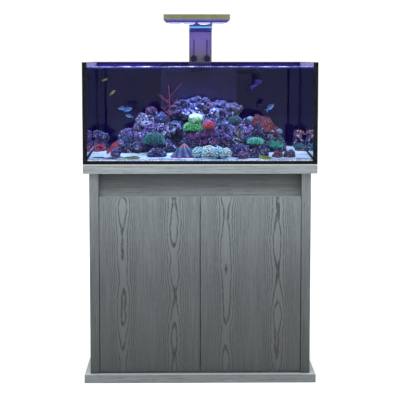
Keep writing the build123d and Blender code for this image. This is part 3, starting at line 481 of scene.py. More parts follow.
def tinted(name, rough=0.5, glow=0.08, grain=350.0, size=0.0008):
    """Flesh whose colour comes from the mesh's colours with their painted shade, mottled by noise, with a
    faint painted glow.
    """
    g = Graph(name)
    mottle = g.noise(g.place, grain, 4.0, 0.65)
    shade = g.mix(g.times(mottle, 0.55), g.tint(), (0.02, 0.02, 0.06, 1))
    return g.painted_glow(shade, glow, rough, g.bump(mottle, size, 0.6))


# ---- finishes of the carried-over CAD nodes ----------------------------------------------------------
# painted shade: doors, sides and rear darker towards the floor, the fascia darker under the top panel
DOOR_PAINTED_SHADE = (DOOR_LOW.z, DOOR_HIGH.z, 0.265)
FASCIA_PAINTED_SHADE = (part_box("fascia_rail")[1].z - 0.01, DOOR_HIGH.z, 0.13)
# painted lamp light: violet on the light housing's lower rim, beside the lenses
TRAY_PAINTED_LAMP_LIGHT = (rgb(66, 46, 156), TRAY + 0.0025, TRAY + 0.0055)
# painted lamp light: the arm turns violet towards the light at its top
ARM_PAINTED_LAMP_LIGHT = (rgb(112, 88, 166), ARM_LOW.z, ARM_HIGH.z - 0.02)
CLEAR_GLASS = (0.985, 0.993, 0.995, 1)
NICKEL = brushed("nickel", (0.72, 0.71, 0.69, 1), 2, 0.28)
SILICONE = silicone()
RUBBER = moulded("pad_rubber", (0.012, 0.012, 0.013, 1), 0.75, 700.0)

for finish, names in (
    # wood: each third value is painted light, a lighter or darker copy of one foil
    (wood("oak_upright", True, 0.955, True, 0.0, DOOR_PAINTED_SHADE), "left_door right_door"),
    (wood("oak_sides", True, 0.95, False, 3.7, DOOR_PAINTED_SHADE), "left_side_panel right_side_panel rear_panel"),
    (wood("oak_top", False, 1.15, False, 2.2), "top_panel"),
    (wood("oak_fascia", False, 1.22, False, 8.1, FASCIA_PAINTED_SHADE), "fascia_rail bottom_rail"),
    (wood("oak_plinth", False, 0.96, False, 5.2), "plinth"),
    (moulded("bumper_clear", (0.6, 0.6, 0.6, 1), 0.2), "door_bumpers"),
    (NICKEL, "left_hinge_arms right_hinge_arms left_hinge_cups right_hinge_cups"),
    (foam(), "levelling_mat"),
    (clear("tank_glass_front", CLEAR_GLASS, rgb(44, 66, 84), 1), "front_glass rear_glass"),
    (clear("tank_glass_side", CLEAR_GLASS, rgb(4, 6, 10), 0), "left_glass right_glass"),
    (clear("tank_glass_base", (0.98, 0.99, 0.99, 1), rgb(60, 110, 120), 2), "base_glass"),
    (SILICONE, "silicone_seams"),
    (backdrop(), "background_sheet"),
    # painted lamp light: the weir, the dark pipes and the nozzle are violet on all sides
    (
        moulded("weir_acrylic", rgb(28, 18, 58), 0.55, 900.0, 0.1, Specular_IOR_Level=0.08),
        "weir_box weir_comb",
    ),
    (
        moulded("dark_pvc", rgb(26, 22, 54), 0.5, Specular_IOR_Level=0.2),
        "bulkheads bulkhead_nuts drain_standpipes return_riser",
    ),
    (moulded("nozzle_pvc", rgb(62, 54, 140), 0.5, Specular_IOR_Level=0.2), "return_nozzle"),
    (clear("sump_glass", (0.93, 0.965, 0.96, 1), rgb(70, 120, 116), haze=0.05), "sump_glass sump_baffles"),
    (moulded("shelf_plastic", (0.02, 0.02, 0.022, 1), 0.4), "sock_holder"),
    (moulded("ring_blue", rgb(34, 66, 140), 0.32), "sock_ring"),
    (moulded("grey_pvc", (0.17, 0.18, 0.19, 1), 0.42), "drain_pipes return_pipe"),
    (moulded("valve_grey", (0.09, 0.095, 0.1, 1), 0.38), "drain_valve"),
    (moulded("valve_red", rgb(176, 34, 26), 0.3), "valve_handle"),
    (moulded("pump_black", (0.02, 0.02, 0.024, 1), 0.35), "return_pump"),
    (
        clear("skimmer_acrylic", (0.86, 0.90, 0.93, 1), rgb(150, 160, 165), haze=0.16),
        "skimmer_body skimmer_cup",
    ),
    # painted violet lamp light on the clamp, plain grey on faces turned up or back
    (
        moulded("clamp_metal", rgb(66, 58, 150), 0.4, 900.0, 0.3, 0.15, 0.3, plain=rgb(96, 96, 104)),
        "glass_clamp",
    ),
    (RUBBER, "clamp_pads"),
    # arm: painted violet lamp light, plain grey on faces turned up or back
    (brushed("arm_lamp_lit", rgb(90, 86, 84), 2, 0.36, ARM_PAINTED_LAMP_LIGHT, plain=rgb(152, 152, 164)), "arm_upright"),
    # painted violet lamp light on the bracket, a painted cyan highlight on its front faces
    (
        brushed(
            "bracket_lamp_lit", rgb(104, 112, 196), 1, 0.5, front=rgb(150, 226, 255), plain=rgb(78, 78, 88)
        ),
        "arm_bracket",
    ),
    (moulded("light_olive", rgb(102, 106, 70), 0.4, 900.0, 0.3, 0.10, 0.3), "light_cover"),
    # the housing's violet lower rim is painted lamp light
    (moulded("light_grey", rgb(104, 100, 122), 0.42, 900.0, 0.3, 0.08, 0.2, TRAY_PAINTED_LAMP_LIGHT), "light_housing"),
    (lit_lens(), "light_lenses"),
    (moulded("led_board", (0.8, 0.82, 0.85, 1), 0.4), "led_board"),
    (brushed("bare_fins", (0.6, 0.61, 0.63, 1), 0, 0.3), "heat_sink"),
    # painted lamp light: knobs, screws and fan rotor are dark violet all round
    (
        moulded("knob_plastic", rgb(22, 18, 58), 0.4, Specular_IOR_Level=0.25),
        "left_locking_knob right_locking_knob left_clamp_screw right_clamp_screw fan_rotor",
    ),
):
    for node in names.split():
        slots = frame["nodes"][node].data.materials
        if not slots:
            slots.append(finish)
        for index in range(len(slots)):
            slots[index] = finish


# ---- making meshes -----------------------------------------------------------------------------------
WHITE = (1, 1, 1, 1)


def piece(name, verts, faces, material, body="cabinet", slot="reef_rock", smooth=True, tints=None):
    """Makes an object that rides on a body and wears the given material.

    On the reef its colours carry painted shade: deeper on faces turned down and away from the lamps."""
    mesh = bpy.data.meshes.new(name)
    mesh.from_pydata([tuple(v) for v in verts], [], faces)
    mesh.validate()
    mesh.update()
    if slot == "reef_rock":
        layer = mesh.color_attributes.new("tint", "FLOAT_COLOR", "POINT")
        for index, vertex in enumerate(mesh.vertices):
            tint = tints[index] if tints else WHITE
            # painted light: brighter on faces turned up, darker on faces turned down
            light = min(1.0, 0.20 + 0.92 * (0.5 + 0.5 * vertex.normal.z) ** 1.2)
            layer.data[index].color = [c * light for c in tint[:3]] + [light]
    mesh.polygons.foreach_set("use_smooth", [smooth] * len(mesh.polygons))
    mesh.materials.append(material)
    made = bpy.data.objects.new(name, mesh)
    scene.collection.objects.link(made)
    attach(made, body)
    return made


class Shape:
    """Collects vertices, faces and tints of many small parts into one mesh."""

    def __init__(self):
        self.verts, self.faces, self.tints = [], [], []

    def add(self, verts, faces, tint=WHITE):
        base = len(self.verts)
        self.verts += [Vector(v) for v in verts]
        self.faces += [[base + i for i in face] for face in faces]
        self.tints += list(tint) if isinstance(tint, list) else [tint] * len(verts)

    def rings(self, rings, tint=WHITE, caps=True):
        """Skins a list of equal closed rings; a tint per ring or one for all."""
        count = len(rings[0])
        verts = [v for ring in rings for v in ring]
        faces = []
        for row in range(0, len(verts) - count, count):
            for i in range(count):
                j = (i + 1) % count
                faces.append([row + i, row + j, row + count + j, row + count + i])
        if caps:
            faces.append(list(range(count))[::-1])
            faces.append(list(range(len(verts) - count, len(verts))))
        self.add(verts, faces, [t for t in tint for _ in range(count)] if isinstance(tint, list) else tint)

    def tube(self, points, radii, sides=8, tint=WHITE):
        """A tube through points, with a radius at each."""
        points = [Vector(p) for p in points]
        rings = []
        side = None
        for i, p in enumerate(points):
            ahead = (points[min(i + 1, len(points) - 1)] - points[max(i - 1, 0)]).normalized()
            side = ahead.orthogonal() if side is None else side - ahead * side.dot(ahead)
            side.normalize()
            other = ahead.cross(side)
            rings.append([p + (side * math.cos(a) + other * math.sin(a)) * radii[i] for a in turns(sides)])
        self.rings(rings, tint)

    def plate(self, front, rear, tint):
        """A thin closed sheet between two equal outlines."""
        n = len(front)
        sides = [[(i + 1) % n, i, n + i, n + (i + 1) % n] for i in range(n)]
        self.add(front + rear, [list(range(n)), [n + i for i in range(n)][::-1], *sides], tint)

    def make(self, name, material, **more):
        return piece(name, self.verts, self.faces, material, tints=self.tints, **more)


def fractal(p, octaves=4):
    return noise.fractal(p, 1.0, 2.1, octaves, noise_basis="PERLIN_ORIGINAL")


def ball(centre, radius, level=3):
    """Vertices and faces of an icosphere."""
    bm = bmesh.new()
    bmesh.ops.create_icosphere(bm, subdivisions=level, radius=radius)
    verts = [Vector(centre) + v.co for v in bm.verts]
    faces = [[v.index for v in f.verts] for f in bm.faces]
    bm.free()
    return verts, faces


def fused(shape, voxel):
    """One closed skin round overlapping lumps: its vertices, faces and normals."""
    mesh = bpy.data.meshes.new("lumps")
    mesh.from_pydata([tuple(v) for v in shape.verts], [], shape.faces)
    lumps = bpy.data.objects.new("lumps", mesh)
    scene.collection.objects.link(lumps)
    remesh = lumps.modifiers.new("skin", "REMESH")
    remesh.mode = "VOXEL"
    remesh.voxel_size = voxel
    skin = bpy.data.meshes.new_from_object(lumps.evaluated_get(bpy.context.evaluated_depsgraph_get()))
    verts = [v.co.copy() for v in skin.vertices]
    faces = [list(p.vertices) for p in skin.polygons]
    normals = [v.normal.copy() for v in skin.vertices]
    bpy.data.objects.remove(lumps)
    bpy.data.meshes.remove(mesh)
    bpy.data.meshes.remove(skin)
    return verts, faces, normals


def slab(name, xs, ys, top, bottom, notched, material, slot):
    """A closed slab on a grid, with a height for each place on top; notched says which cells are cut out."""
    verts = [(x, y, top(x, y)) for y in ys for x in xs]
    base = len(verts)
    verts += [(x, y, bottom) for x, y, _ in verts]
    faces = []
    edges = {}
    for j in range(len(ys) - 1):
        for i in range(len(xs) - 1):
            if notched(xs[i], xs[i + 1], ys[j], ys[j + 1]):
                continue
            a = j * len(xs) + i
            quad = [a, a + 1, a + 1 + len(xs), a + len(xs)]
            faces += [quad, [v + base for v in quad[::-1]]]
            edges.update(dict.fromkeys(zip(quad, quad[1:] + quad[:1])))
    faces += [[b, a, a + base, b + base] for a, b in edges if (b, a) not in edges]
    renamed = {old: new for new, old in enumerate(sorted({v for face in faces for v in face}))}
    faces = [[renamed[v] for v in face] for face in faces]
    return piece(name, [verts[v] for v in renamed], faces, material, slot=slot)


# ---- sand ---------------------------------------------------------------------------------------------
def sand():
    """The sand bed with its soft ripples, drifts and dimples, cut round the weir."""
    low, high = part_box("sand_bed")
    gap = 0.0012
    step = 0.009
    nx, ny = int((high.x - low.x) / step), int((high.y - low.y) / step)

    def top(x, y):
        p = Vector((x, y, 0))
        lift = 0.004 * noise.noise(p * 9) + 0.0025 * noise.noise(p * 30) + 0.0012 * noise.noise(p * 90)
        front = within((y - low.y) / SAND_RISE)
        return high.z - 0.013 + 0.010 * front + lift * (0.3 + 0.7 * front)

    def notched(x0, x1, y0, y1):
        return min(abs(x0), abs(x1)) < WEIR_HIGH.x + gap and y1 > WEIR_LOW.y - gap

    # painted lamp light: the white sand is tinted blue and glows; its dark blue dimples are painted shade
    g = Graph("coral_sand")
    grains = g.noise(g.place, 900.0, 3.0, 0.8)
    shade = g.ramp(
        g.noise(g.place, 16.0, 5.0, 0.6, 0.8),
        (0.30, rgb(130, 172, 216)),
        (0.45, rgb(190, 220, 240)),
        (0.60, rgb(232, 244, 250)),
        (0.8, rgb(250, 253, 255)),
    )
    lumps = g.ramp(g.noise(g.place, 150.0, 3.0, 0.7), (0.40, 1.0), (0.54, 0.0))
    shade = g.mix(g.times(lumps, 0.70), shade, rgb(84, 118, 186))
    shade = g.mix(g.times(grains, 0.25), shade, rgb(98, 128, 190))
    material = g.painted_glow(shade, 0.38, 0.85, g.bump(g.minus(grains, lumps), 0.002, 0.7))
    xs = [low.x + (high.x - low.x) * i / nx for i in range(nx + 1)]
    ys = [low.y + (high.y - low.y) * j / ny for j in range(ny + 1)]
    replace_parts(slab("sand_drifts", xs, ys, top, low.z, notched, material, "sand"), "sand_bed")


sand()

# ---- rock -----------------------------------------------------------------------------------------------
ROCK = crust("reef_rock")
BROAD = (
    (-1.0, (20, 12, 38)),
    (-0.45, (54, 22, 90)),
    (-0.15, (32, 34, 112)),
    (0.08, (46, 96, 196)),
    (0.25, (60, 30, 108)),
    (0.50, (122, 40, 128)),
    (0.75, (44, 62, 150)),
    (1.0, (112, 84, 156)),
)


def broad_tint(p):
    """The slowly changing colour of encrusting growth at a point, with the lamps' blue light painted into it.
    """
    value = 1.7 * fractal(p * 17 + Vector((7, 3, 1)), 4)
    for (a, low), (b, high) in zip(BROAD, BROAD[1:]):
        if value <= b:
            w = max(0.0, (value - a) / (b - a))
            return rgb(*(0.85 * (l + (h - l) * w) for l, h in zip(low, high)))
    return rgb(*BROAD[-1][1])


def any_way(rng, lift=0.2):
    """A random direction, on the whole a little upwards."""
    return Vector((rng.gauss(0, 1), rng.gauss(0, 1), rng.gauss(lift, 1))).normalized()


def skinned(name, shape, voxel, worn, node=None):
    """Lumps as one tinted rock, its skin worn away point by point. It stands for the CAD node, if given."""
    verts, faces, normals = fused(shape, voxel)
    verts = [worn(v, n) for v, n in zip(verts, normals)]
    made = piece(name, verts, faces, ROCK, tints=[broad_tint(v) for v in verts])
    if node:
        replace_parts(made, node)
    return made


def rock(name, node, seed, lobes):
    """A heap of porous rock: lobes with knobs all over them, skinned, worn and pitted."""
    rng = random.Random(seed)
    low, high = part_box(node)
    shape = Shape()
    for x, y, height, radius in lobes:
        centre, radius = spot(x, y, height), radius / 1000
        shape.add(*ball(centre, radius * 0.90))
        for _ in range(26):
            way = any_way(rng)
            size = radius * rng.uniform(0.16, 0.36)
            shape.add(*ball(centre + way * (radius * rng.uniform(0.80, 0.98)), size, 2))

    def worn(v, n):
        p = v + Vector((seed, 0, 0))
        push = 0.020 * fractal(p * 15) + 0.012 * fractal(p * 42, 3) + 0.004 * fractal(p * 110, 2)
        push -= 0.010 * max(0.0, 0.40 - noise.voronoi(p * 36)[0][0]) / 0.40
        v = v + n * push
        v.x = within(v.x, low.x - 0.004, high.x + 0.004)
        v.y = within(v.y, -INNER_Y + 0.02, INNER_Y - 0.004)
        v.z = within(v.z, BASE_TOP + 0.004, WATER - 0.01)
        return v

    return skinned(name, shape, 0.0046, worn, node)


def rubble():
    """Loose stones on the sand in front of the rocks."""
    rng = random.Random(5)
    shape = Shape()
    for x, y, radius in (
        (-330, -180, 24), (-166, -190, 26), (-60, -170, 22), (60, -185, 34), (150, -165, 40), (250, -190, 26),
    ):
        centre, radius = spot(x, y, 0), radius / 1000
        shape.add(*ball(centre, radius * 0.8))
        for _ in range(9):
            way = Vector((rng.gauss(0, 1), rng.gauss(0, 1), rng.uniform(0, 1.2))).normalized()
            shape.add(*ball(centre + way * radius * 0.72, radius * rng.uniform(0.2, 0.36), 2))

    def worn(v, n):
        v = v + n * (0.004 * fractal(v * 60, 3))
        return Vector((v.x, v.y, max(v.z, BASE_TOP + 0.004)))

    return skinned("loose_rubble", shape, 0.003, worn, "reef_rubble")


def corner_rock(name, seed, lobes):
    """A stone that leans in a rear corner of the tank, against the side pane."""
    rng = random.Random(seed)
    shape = Shape()
    for x, y, height, radius in lobes:
        centre, radius = spot(x, y, height), radius / 1000
        shape.add(*ball(centre, radius * 0.85))
        for _ in range(14):
            way = any_way(rng)
            shape.add(*ball(centre + way * radius * 0.8, radius * rng.uniform(0.2, 0.4), 2))

    def worn(v, n):
        v = v + n * (0.010 * fractal(v * 24) + 0.005 * fractal(v * 80, 2))
        return Vector((within(v.x, 0.003 - INNER_X, INNER_X - 0.003), v.y, max(v.z, BASE_TOP + 0.004)))

    return skinned(name, shape, 0.0034, worn)


PILES = [
    rock("live_rock_left", "rock_left", 11, (
        (-262, -10, 2, 68), (-205, 25, 50, 80), (-150, 0, 40, 70), (-200, 10, 108, 54),
        (-302, -50, -8, 40), (-235, -55, 35, 48), (-165, -50, 75, 45), (-130, -20, 92, 38),
    )),
    rock("live_rock_centre", "rock_centre", 23, (
        (-50, 30, 60, 70), (30, 20, 70, 84), (110, 25, 55, 80), (5, 45, 145, 56), (100, 45, 128, 52),
        (-40, 20, 130, 44), (60, -40, 60, 56), (135, -30, 30, 50), (-20, -40, 35, 48), (55, 30, 135, 45),
    )),
    rock("live_rock_right", "rock_right", 37, (
        (205, 15, 45, 76), (262, 0, 25, 66), (305, -15, 5, 42), (190, 0, 90, 42), (235, -40, 10, 44),
        (290, -45, 12, 40), (325, -30, 0, 28),
    )),
    rubble(),
]
CORNERS = [
    corner_rock("corner_rock_left", 71, (
        (-412, 60, 16, 30), (-396, 100, 44, 26), (-418, 40, 62, 20), (-384, 30, 4, 22),
    )),
    corner_rock("corner_rock_right", 72, ((420, 70, 18, 28), (410, 90, 48, 22), (424, 40, 4, 20))),
]


def tree_of(objects):
    """One ray-casting tree over several meshes."""
    verts, faces = [], []
    for made in objects:
        base = len(verts)
        verts += [v.co.copy() for v in made.data.vertices]
        faces += [[base + i for i in p.vertices] for p in made.data.polygons]
    return BVHTree.FromPolygons(verts, faces)


REEF = tree_of(PILES)
LIGHT_WAYS = [
    Vector(way).normalized()
    for way in ((0, 0, 1), (0.7, -0.2, 0.8), (-0.7, -0.2, 0.8), (0, -0.9, 0.6), (0, -1, 0), (0, 0.8, 0.8))
]


def paint_crevice_shade(objects, reach=0.055):
    """Paints shade into the rocks' colours wherever other rock stands over them or in front of them, and near
    the summit, which stands nearest the lamps."""
    for made in objects:
        layer = made.data.color_attributes["tint"]
        for index, vertex in enumerate(made.data.vertices):
            start = vertex.co + vertex.normal * 0.003
            clear_ways = sum(REEF.ray_cast(start, way, reach)[0] is None for way in LIGHT_WAYS)
            shade = 0.12 + 0.88 * (clear_ways / len(LIGHT_WAYS)) ** 1.3
            # painted shade towards the summit
            shade *= 1.0 - 0.34 * within((vertex.co.z - SUMMIT) / SUMMIT_FADE)
            layer.data[index].color = [c * shade for c in layer.data[index].color]


paint_crevice_shade(PILES + CORNERS)


# ---- corals --------------------------------------------------------------------------------------------
POLYP = tinted("polyp_flesh")
SOFT = tinted("soft_coral", 0.55, 0.26, 260.0)
CRUST_FINE = crust("crusted_coral", 1.45, -0.05)
RUST = crust("rust_sponge", 1.7, 0.04, ((160, 62, 56), (206, 108, 92), (186, 88, 84), (220, 140, 120)))
GOLDEN_ANGLE = math.pi * (3 - math.sqrt(5))


def spread_way(k, count, reach):
    """The k-th of count directions spread evenly down from straight up."""
    lift = 1 - reach * (k + 0.5) / count
    flat = math.sqrt(max(0.0, 1 - lift * lift))
    return Vector((math.cos(k * GOLDEN_ANGLE) * flat, math.sin(k * GOLDEN_ANGLE) * flat, lift))


def times_each(a, b):
    return Vector([p * q for p, q in zip(a, b)])


def polyp(shape, place, size, rim, heart):
    """A button polyp: a short stalk and a dished disc."""
    profile = ((0.55, -0.5), (0.6, 0.1), (1.0, 0.42), (1.04, 0.5), (0.8, 0.46), (0.3, 0.3), (0.1, 0.42))

    def ring(r, h):
        return [place @ (Vector((r * math.cos(a), r * math.sin(a), h)) * size) for a in turns(9)]

    shape.rings([ring(r, h) for r, h in profile], [rim] * 5 + [heart] * 2)


def colony(name, x, height, wide, tall, count, size, rim, heart, seed):
    """Polyps spread over the part of the reef seen from the front in a window centred on (x, height)."""
    rng = random.Random(seed)
    shape = Shape()
    for _ in range(count):
        a, d = rng.uniform(0, math.tau), math.sqrt(rng.random())
        start = spot(x + wide / 2 * d * math.cos(a), -280, height + tall / 2 * d * math.sin(a))
        at, normal, _, _ = REEF.ray_cast(start, Vector((0, 1, 0)))
        if at is None:
            continue
        normal = (normal if normal.y < 0 else -normal) + Vector((0, -0.25, 0.35))
        shade = rng.uniform(0.7, 1.3)
        grown = size / 1000 * rng.uniform(0.7, 1.25)
        turn = normal.to_track_quat("Z", "Y").to_matrix().to_4x4()
        turn = turn @ Matrix.Rotation(rng.uniform(0, math.tau), 4, "Z")
        polyp(shape, Matrix.Translation(at) @ turn, grown, scaled(rim, shade), scaled(heart, shade))
    shape.make(name, POLYP)


def tufts(name, place, radius, count, length, thick, base, tip, seed, squash=(1, 1, 1), up=0.4):
    """A dome of tapering tentacles with rounded tips, as on an anemone or a leather coral."""
    rng = random.Random(seed)
    shape = Shape()
    centre, base, tip = spot(*place), rgb(*base), rgb(*tip)
    radius, length, thick = mm(radius, length, thick)
    core, faces = ball((0, 0, 0), radius * 0.86)
    shape.add([centre + times_each(v, squash) for v in core], faces, base)
    for k in range(count):
        way = spread_way(k, count, 1.45).normalized()
        lean = Vector((rng.gauss(0, 0.16), rng.gauss(0, 0.16), up * 0.5 + rng.gauss(0, 0.12)))
        grow = (way + lean).normalized()
        reach = length * rng.uniform(0.75, 1.2)
        curl = Vector((rng.gauss(0, 0.2), rng.gauss(0, 0.2), -0.1))
        points = [
            way * radius * 0.8 + grow * reach * t + curl * reach * t * t * 0.5
            for t in (0, 0.4, 0.75, 0.95, 1.05)
        ]
        shade = rng.uniform(0.75, 1.2)
        shape.tube(
            [centre + times_each(p, squash) for p in points],
            [thick * share for share in (0.75, 0.8, 1, 0.95, 0.35)],
            6,
            [scaled(blended(base, tip, w), shade) for w in (0, 0.2, 0.6, 1, 1)],
        )
    shape.make(name, SOFT)


def knobbly(name, place, size, knob, count, material, seed, voxel, rough=3):
    """A lump of coral covered in rounded knobs, fused into one skin."""
    rng = random.Random(seed)
    shape = Shape()
    centre, size = spot(*place), Vector(mm(*size))
    knob, voxel, rough = mm(knob, voxel, rough)
    verts, faces = ball((0, 0, 0), 1.0)
    shape.add([centre + times_each(v, size) * 0.92 for v in verts], faces)
    for k in range(count):
        at = centre + times_each(spread_way(k, count, 1.7), size) * rng.uniform(0.88, 1.0)
        shape.add(*ball(at, knob * rng.uniform(0.7, 1.15), 2))
    verts, faces, normals = fused(shape, voxel)
    # painted shade between the knobs: darker towards the lump's core
    near, depth = 0.94, 1.1 * knob / min(size)
    tints = []
    for v in verts:
        reach = Vector([p / q for p, q in zip(v - centre, size)]).length
        tints.append((0.25 + 0.85 * within((reach - near) / depth),) * 3 + (1,))
    verts = [v + n * rough * noise.noise(v * 90) for v, n in zip(verts, normals)]
    piece(name, verts, faces, material, tints=tints)


def shelf_coral(name, place, size, tilt, thick, material, seed, waves, tint=(255, 255, 255)):
    """A tilted slab with a thick, lumpy, lobed edge."""
    phase = random.Random(seed).uniform(0, 9)
    turn = Matrix.Translation(spot(*place))
    turn = turn @ Matrix.Rotation(tilt[1], 4, "Y") @ Matrix.Rotation(tilt[0], 4, "X")
    wide, deep, thick, waves = mm(*size, thick, waves)
    rows = 14
    rings = []
    for r, side in [(i / rows, 1) for i in range(1, rows + 1)] + [(1 - i / rows, -1) for i in range(rows)]:
        ring = []
        for a in turns(56):
            lobe = 1 + 0.10 * math.sin(3 * a + phase) + 0.06 * math.sin(7 * a + 2 * phase)
            p = Vector((wide * r * lobe * math.cos(a), deep * r * lobe * math.sin(a), 0))
            bulge = thick * math.sqrt(max(0.0, 1 - r ** 6)) * side
            p.z = waves * fractal(p * 22 + Vector((phase, 0, 0)), 3) + bulge * (1 + 0.3 * noise.noise(p * 40))
            ring.append(turn @ p)
        rings.append(ring)
    shape = Shape()
    shape.rings(rings, rgb(*tint))
    shape.make(name, material)


def leaves(name, place, radius, count, base, tip, seed, lean):
    """A rosette of thin wavy leaves."""
    rng = random.Random(seed)
    shape = Shape()
    centre, radius = spot(*place), radius / 1000
    for spoke in turns(count):
        a = spoke + rng.uniform(-0.2, 0.2)
        out = Vector((math.cos(a), math.sin(a), 0))
        side = Vector((-math.sin(a), math.cos(a), 0))
        reach = radius * rng.uniform(0.7, 1.15)
        rise = rng.uniform(0.3, 1.0) * lean
        rings, tints = [], []
        for t in (i / 5 for i in range(6)):
            spine = centre + out * reach * t + Vector((0, 0, reach * rise * t + 0.004 * math.sin(9 * t + a)))
            wide = radius * (0.16 + 0.42 * math.sin(math.pi * min(1, t * 0.9 + 0.05)))
            ring = []
            for u, v in ((-1, 0), (-0.5, 1), (0.5, 1), (1, 0), (0.5, -1), (-0.5, -1)):
                wave = 0.10 * radius * math.sin(7 * t + 3 * u + a)
                ring.append(spine + side * wide * u + Vector((0, 0, 0.0012 * v + wave * abs(u))))
            rings.append(ring)
            tints.append(blended(rgb(*base), rgb(*tip), t))
        shape.rings(rings, tints)
    shape.make(name, SOFT)


def head(name, place, size, tint, seed, knob=6):
    """A rough crusted coral head: knobbly lumps, worn and pitted like the rock it grows on."""
    rng = random.Random(seed)
    shape = Shape()
    centre, size, tint = spot(*place), mm(*size), rgb(*tint)
    for _ in range(70):
        at = centre + times_each(any_way(rng, 0.3), size) * rng.uniform(0.45, 0.92)
        shape.add(*ball(at, knob / 1000 * rng.uniform(0.8, 2.2), 2))
    verts, faces, normals = fused(shape, 0.0026)
    verts = [
        v + n * (0.006 * fractal(v * 50, 3) + 0.003 * fractal(v * 140, 2)) for v, n in zip(verts, normals)
    ]
    # painted shade: darker towards the head's middle, varied at random
    tints = []
    for v in verts:
        outward = min(1.0, (v - centre).length / max(size))
        tints.append(scaled(tint, (0.35 + 0.75 * outward) * (1.0 + 0.3 * fractal(v * 30, 2))))
    piece(name, verts, faces, CRUST_FINE, tints=tints)


MINT = flesh(
    "mint_coral", (104, 210, 150), (170, 240, 200), (220, 255, 236), 50, (240, (240, 255, 248), 0.25), 0.26
)
FRINGE = flesh("slab_fringe", (40, 90, 150), (90, 150, 200), (180, 214, 240), 90, (200, (230, 240, 255), 0.2))
STALK = flesh("leather_stalk", (70, 44, 110), (104, 76, 150), (150, 120, 186), 70)
RED_PATCH = flesh("red_patch", (150, 30, 70), (196, 60, 96), (214, 96, 130), 50)
YELLOW = flesh("yellow_coral", (96, 160, 40), (190, 206, 60), (236, 226, 90), 90)
GREEN_PLATE = flesh("green_plate", (70, 150, 60), (110, 200, 90), (170, 220, 120), 70)
ORANGE_PLATE = flesh("orange_plate", (150, 90, 40), (190, 130, 60), (214, 160, 90), 80)
PALE_DISC = flesh("pale_disc", (60, 60, 110), (90, 100, 160), (150, 160, 210), 90)

# places are millimetres from the tank's middle and above the sand, sizes are millimetres
for row in (
    ("bubble_dome", (-15, -72, 132), (28, 24, 19), 5.5, 90, MINT, 3, 2.2, 1),
    ("slab_fringe_left", (206, -45, 128), (10, 12, 14), 4, 30, FRINGE, 9, 2.5),
    ("slab_fringe_right", (322, -45, 78), (12, 12, 12), 4, 30, FRINGE, 10, 2.5),
    ("leather_stalk", (222, -120, 18), (14, 14, 24), 4, 20, STALK, 13, 3),
):
    knobbly(*row)
for row in (
    ("green_star_mat", (-26, -66, 96), 30, 150, 10, 3.2, (10, 84, 64), (120, 236, 150), 4, (1.15, 0.8, 0.8)),
    ("red_ball", (37, -85, 104), 22, 260, 5.5, 1.7, (120, 22, 44), (232, 96, 112), 6, (1.08, 0.9, 1)),
    ("teal_leather", (221, -128, 44), 20, 150, 9, 2.8, (16, 92, 110), (100, 220, 196), 12, (1.35, 1, 0.75)),
    ("teal_tuft", (-182, -112, 50), 30, 170, 11, 2.2, (14, 60, 84), (70, 168, 160), 15, (1.2, 0.7, 0.85)),
    ("green_rim_polyps", (143, -72, 122), 22, 90, 8, 2.6, (18, 36, 78), (70, 128, 150), 67, (1.1, 0.6, 0.9)),
):
    tufts(*row)
for k, (x, y, r, tip) in enumerate((
    (-4, -212, 25, (186, 236, 252)), (34, -190, 27, (226, 255, 255)),
    (72, -210, 25, (186, 236, 252)), (100, -200, 22, (226, 255, 255)),
)):
    place = (x, y - 16, BED + r * 0.50)
    name = f"bubble_anemone_{k + 1}"
    tufts(name, place, r * 0.8, 110, r * 0.5, r * 0.15, (70, 140, 176), tip, 20 + k, up=0.6)
for row in (
    ("rust_slab", (262, -35, 106), (66, 36), (0.95, 0.52), 13, RUST, 8, 16, (150, 46, 42)),
    ("red_sponge_left", (-345, -98, 21), (34, 13), (0.9, -0.75), 6, RED_PATCH, 17, 3),
    ("yellow_plate", (252, -252, BED), (26, 16), (0.25, 0.1), 5, YELLOW, 32, 4),
    ("green_plate", (-262, -250, BED - 2), (34, 16), (0.25, 0.05), 4, GREEN_PLATE, 33, 3),
    ("orange_plate", (-256, -266, BED - 5), (22, 10), (0.2, 0), 3, ORANGE_PLATE, 34, 2),
    ("sand_disc_1", (-345, -248, BED - 3), (30, 15), (0.1, 0), 3, PALE_DISC, 35, 2),
    ("sand_disc_2", (-396, -227, BED - 3), (26, 13), (0.1, 0), 3, PALE_DISC, 36, 2),
    ("sand_disc_3", (-318, -224, BED - 3), (24, 12), (0.1, 0), 3, PALE_DISC, 37, 2),
):
    shelf_coral(*row)
leaves("teal_leaves", (306, -120, 20), 30, 19, (10, 60, 70), (44, 196, 164), 14, 1.2)
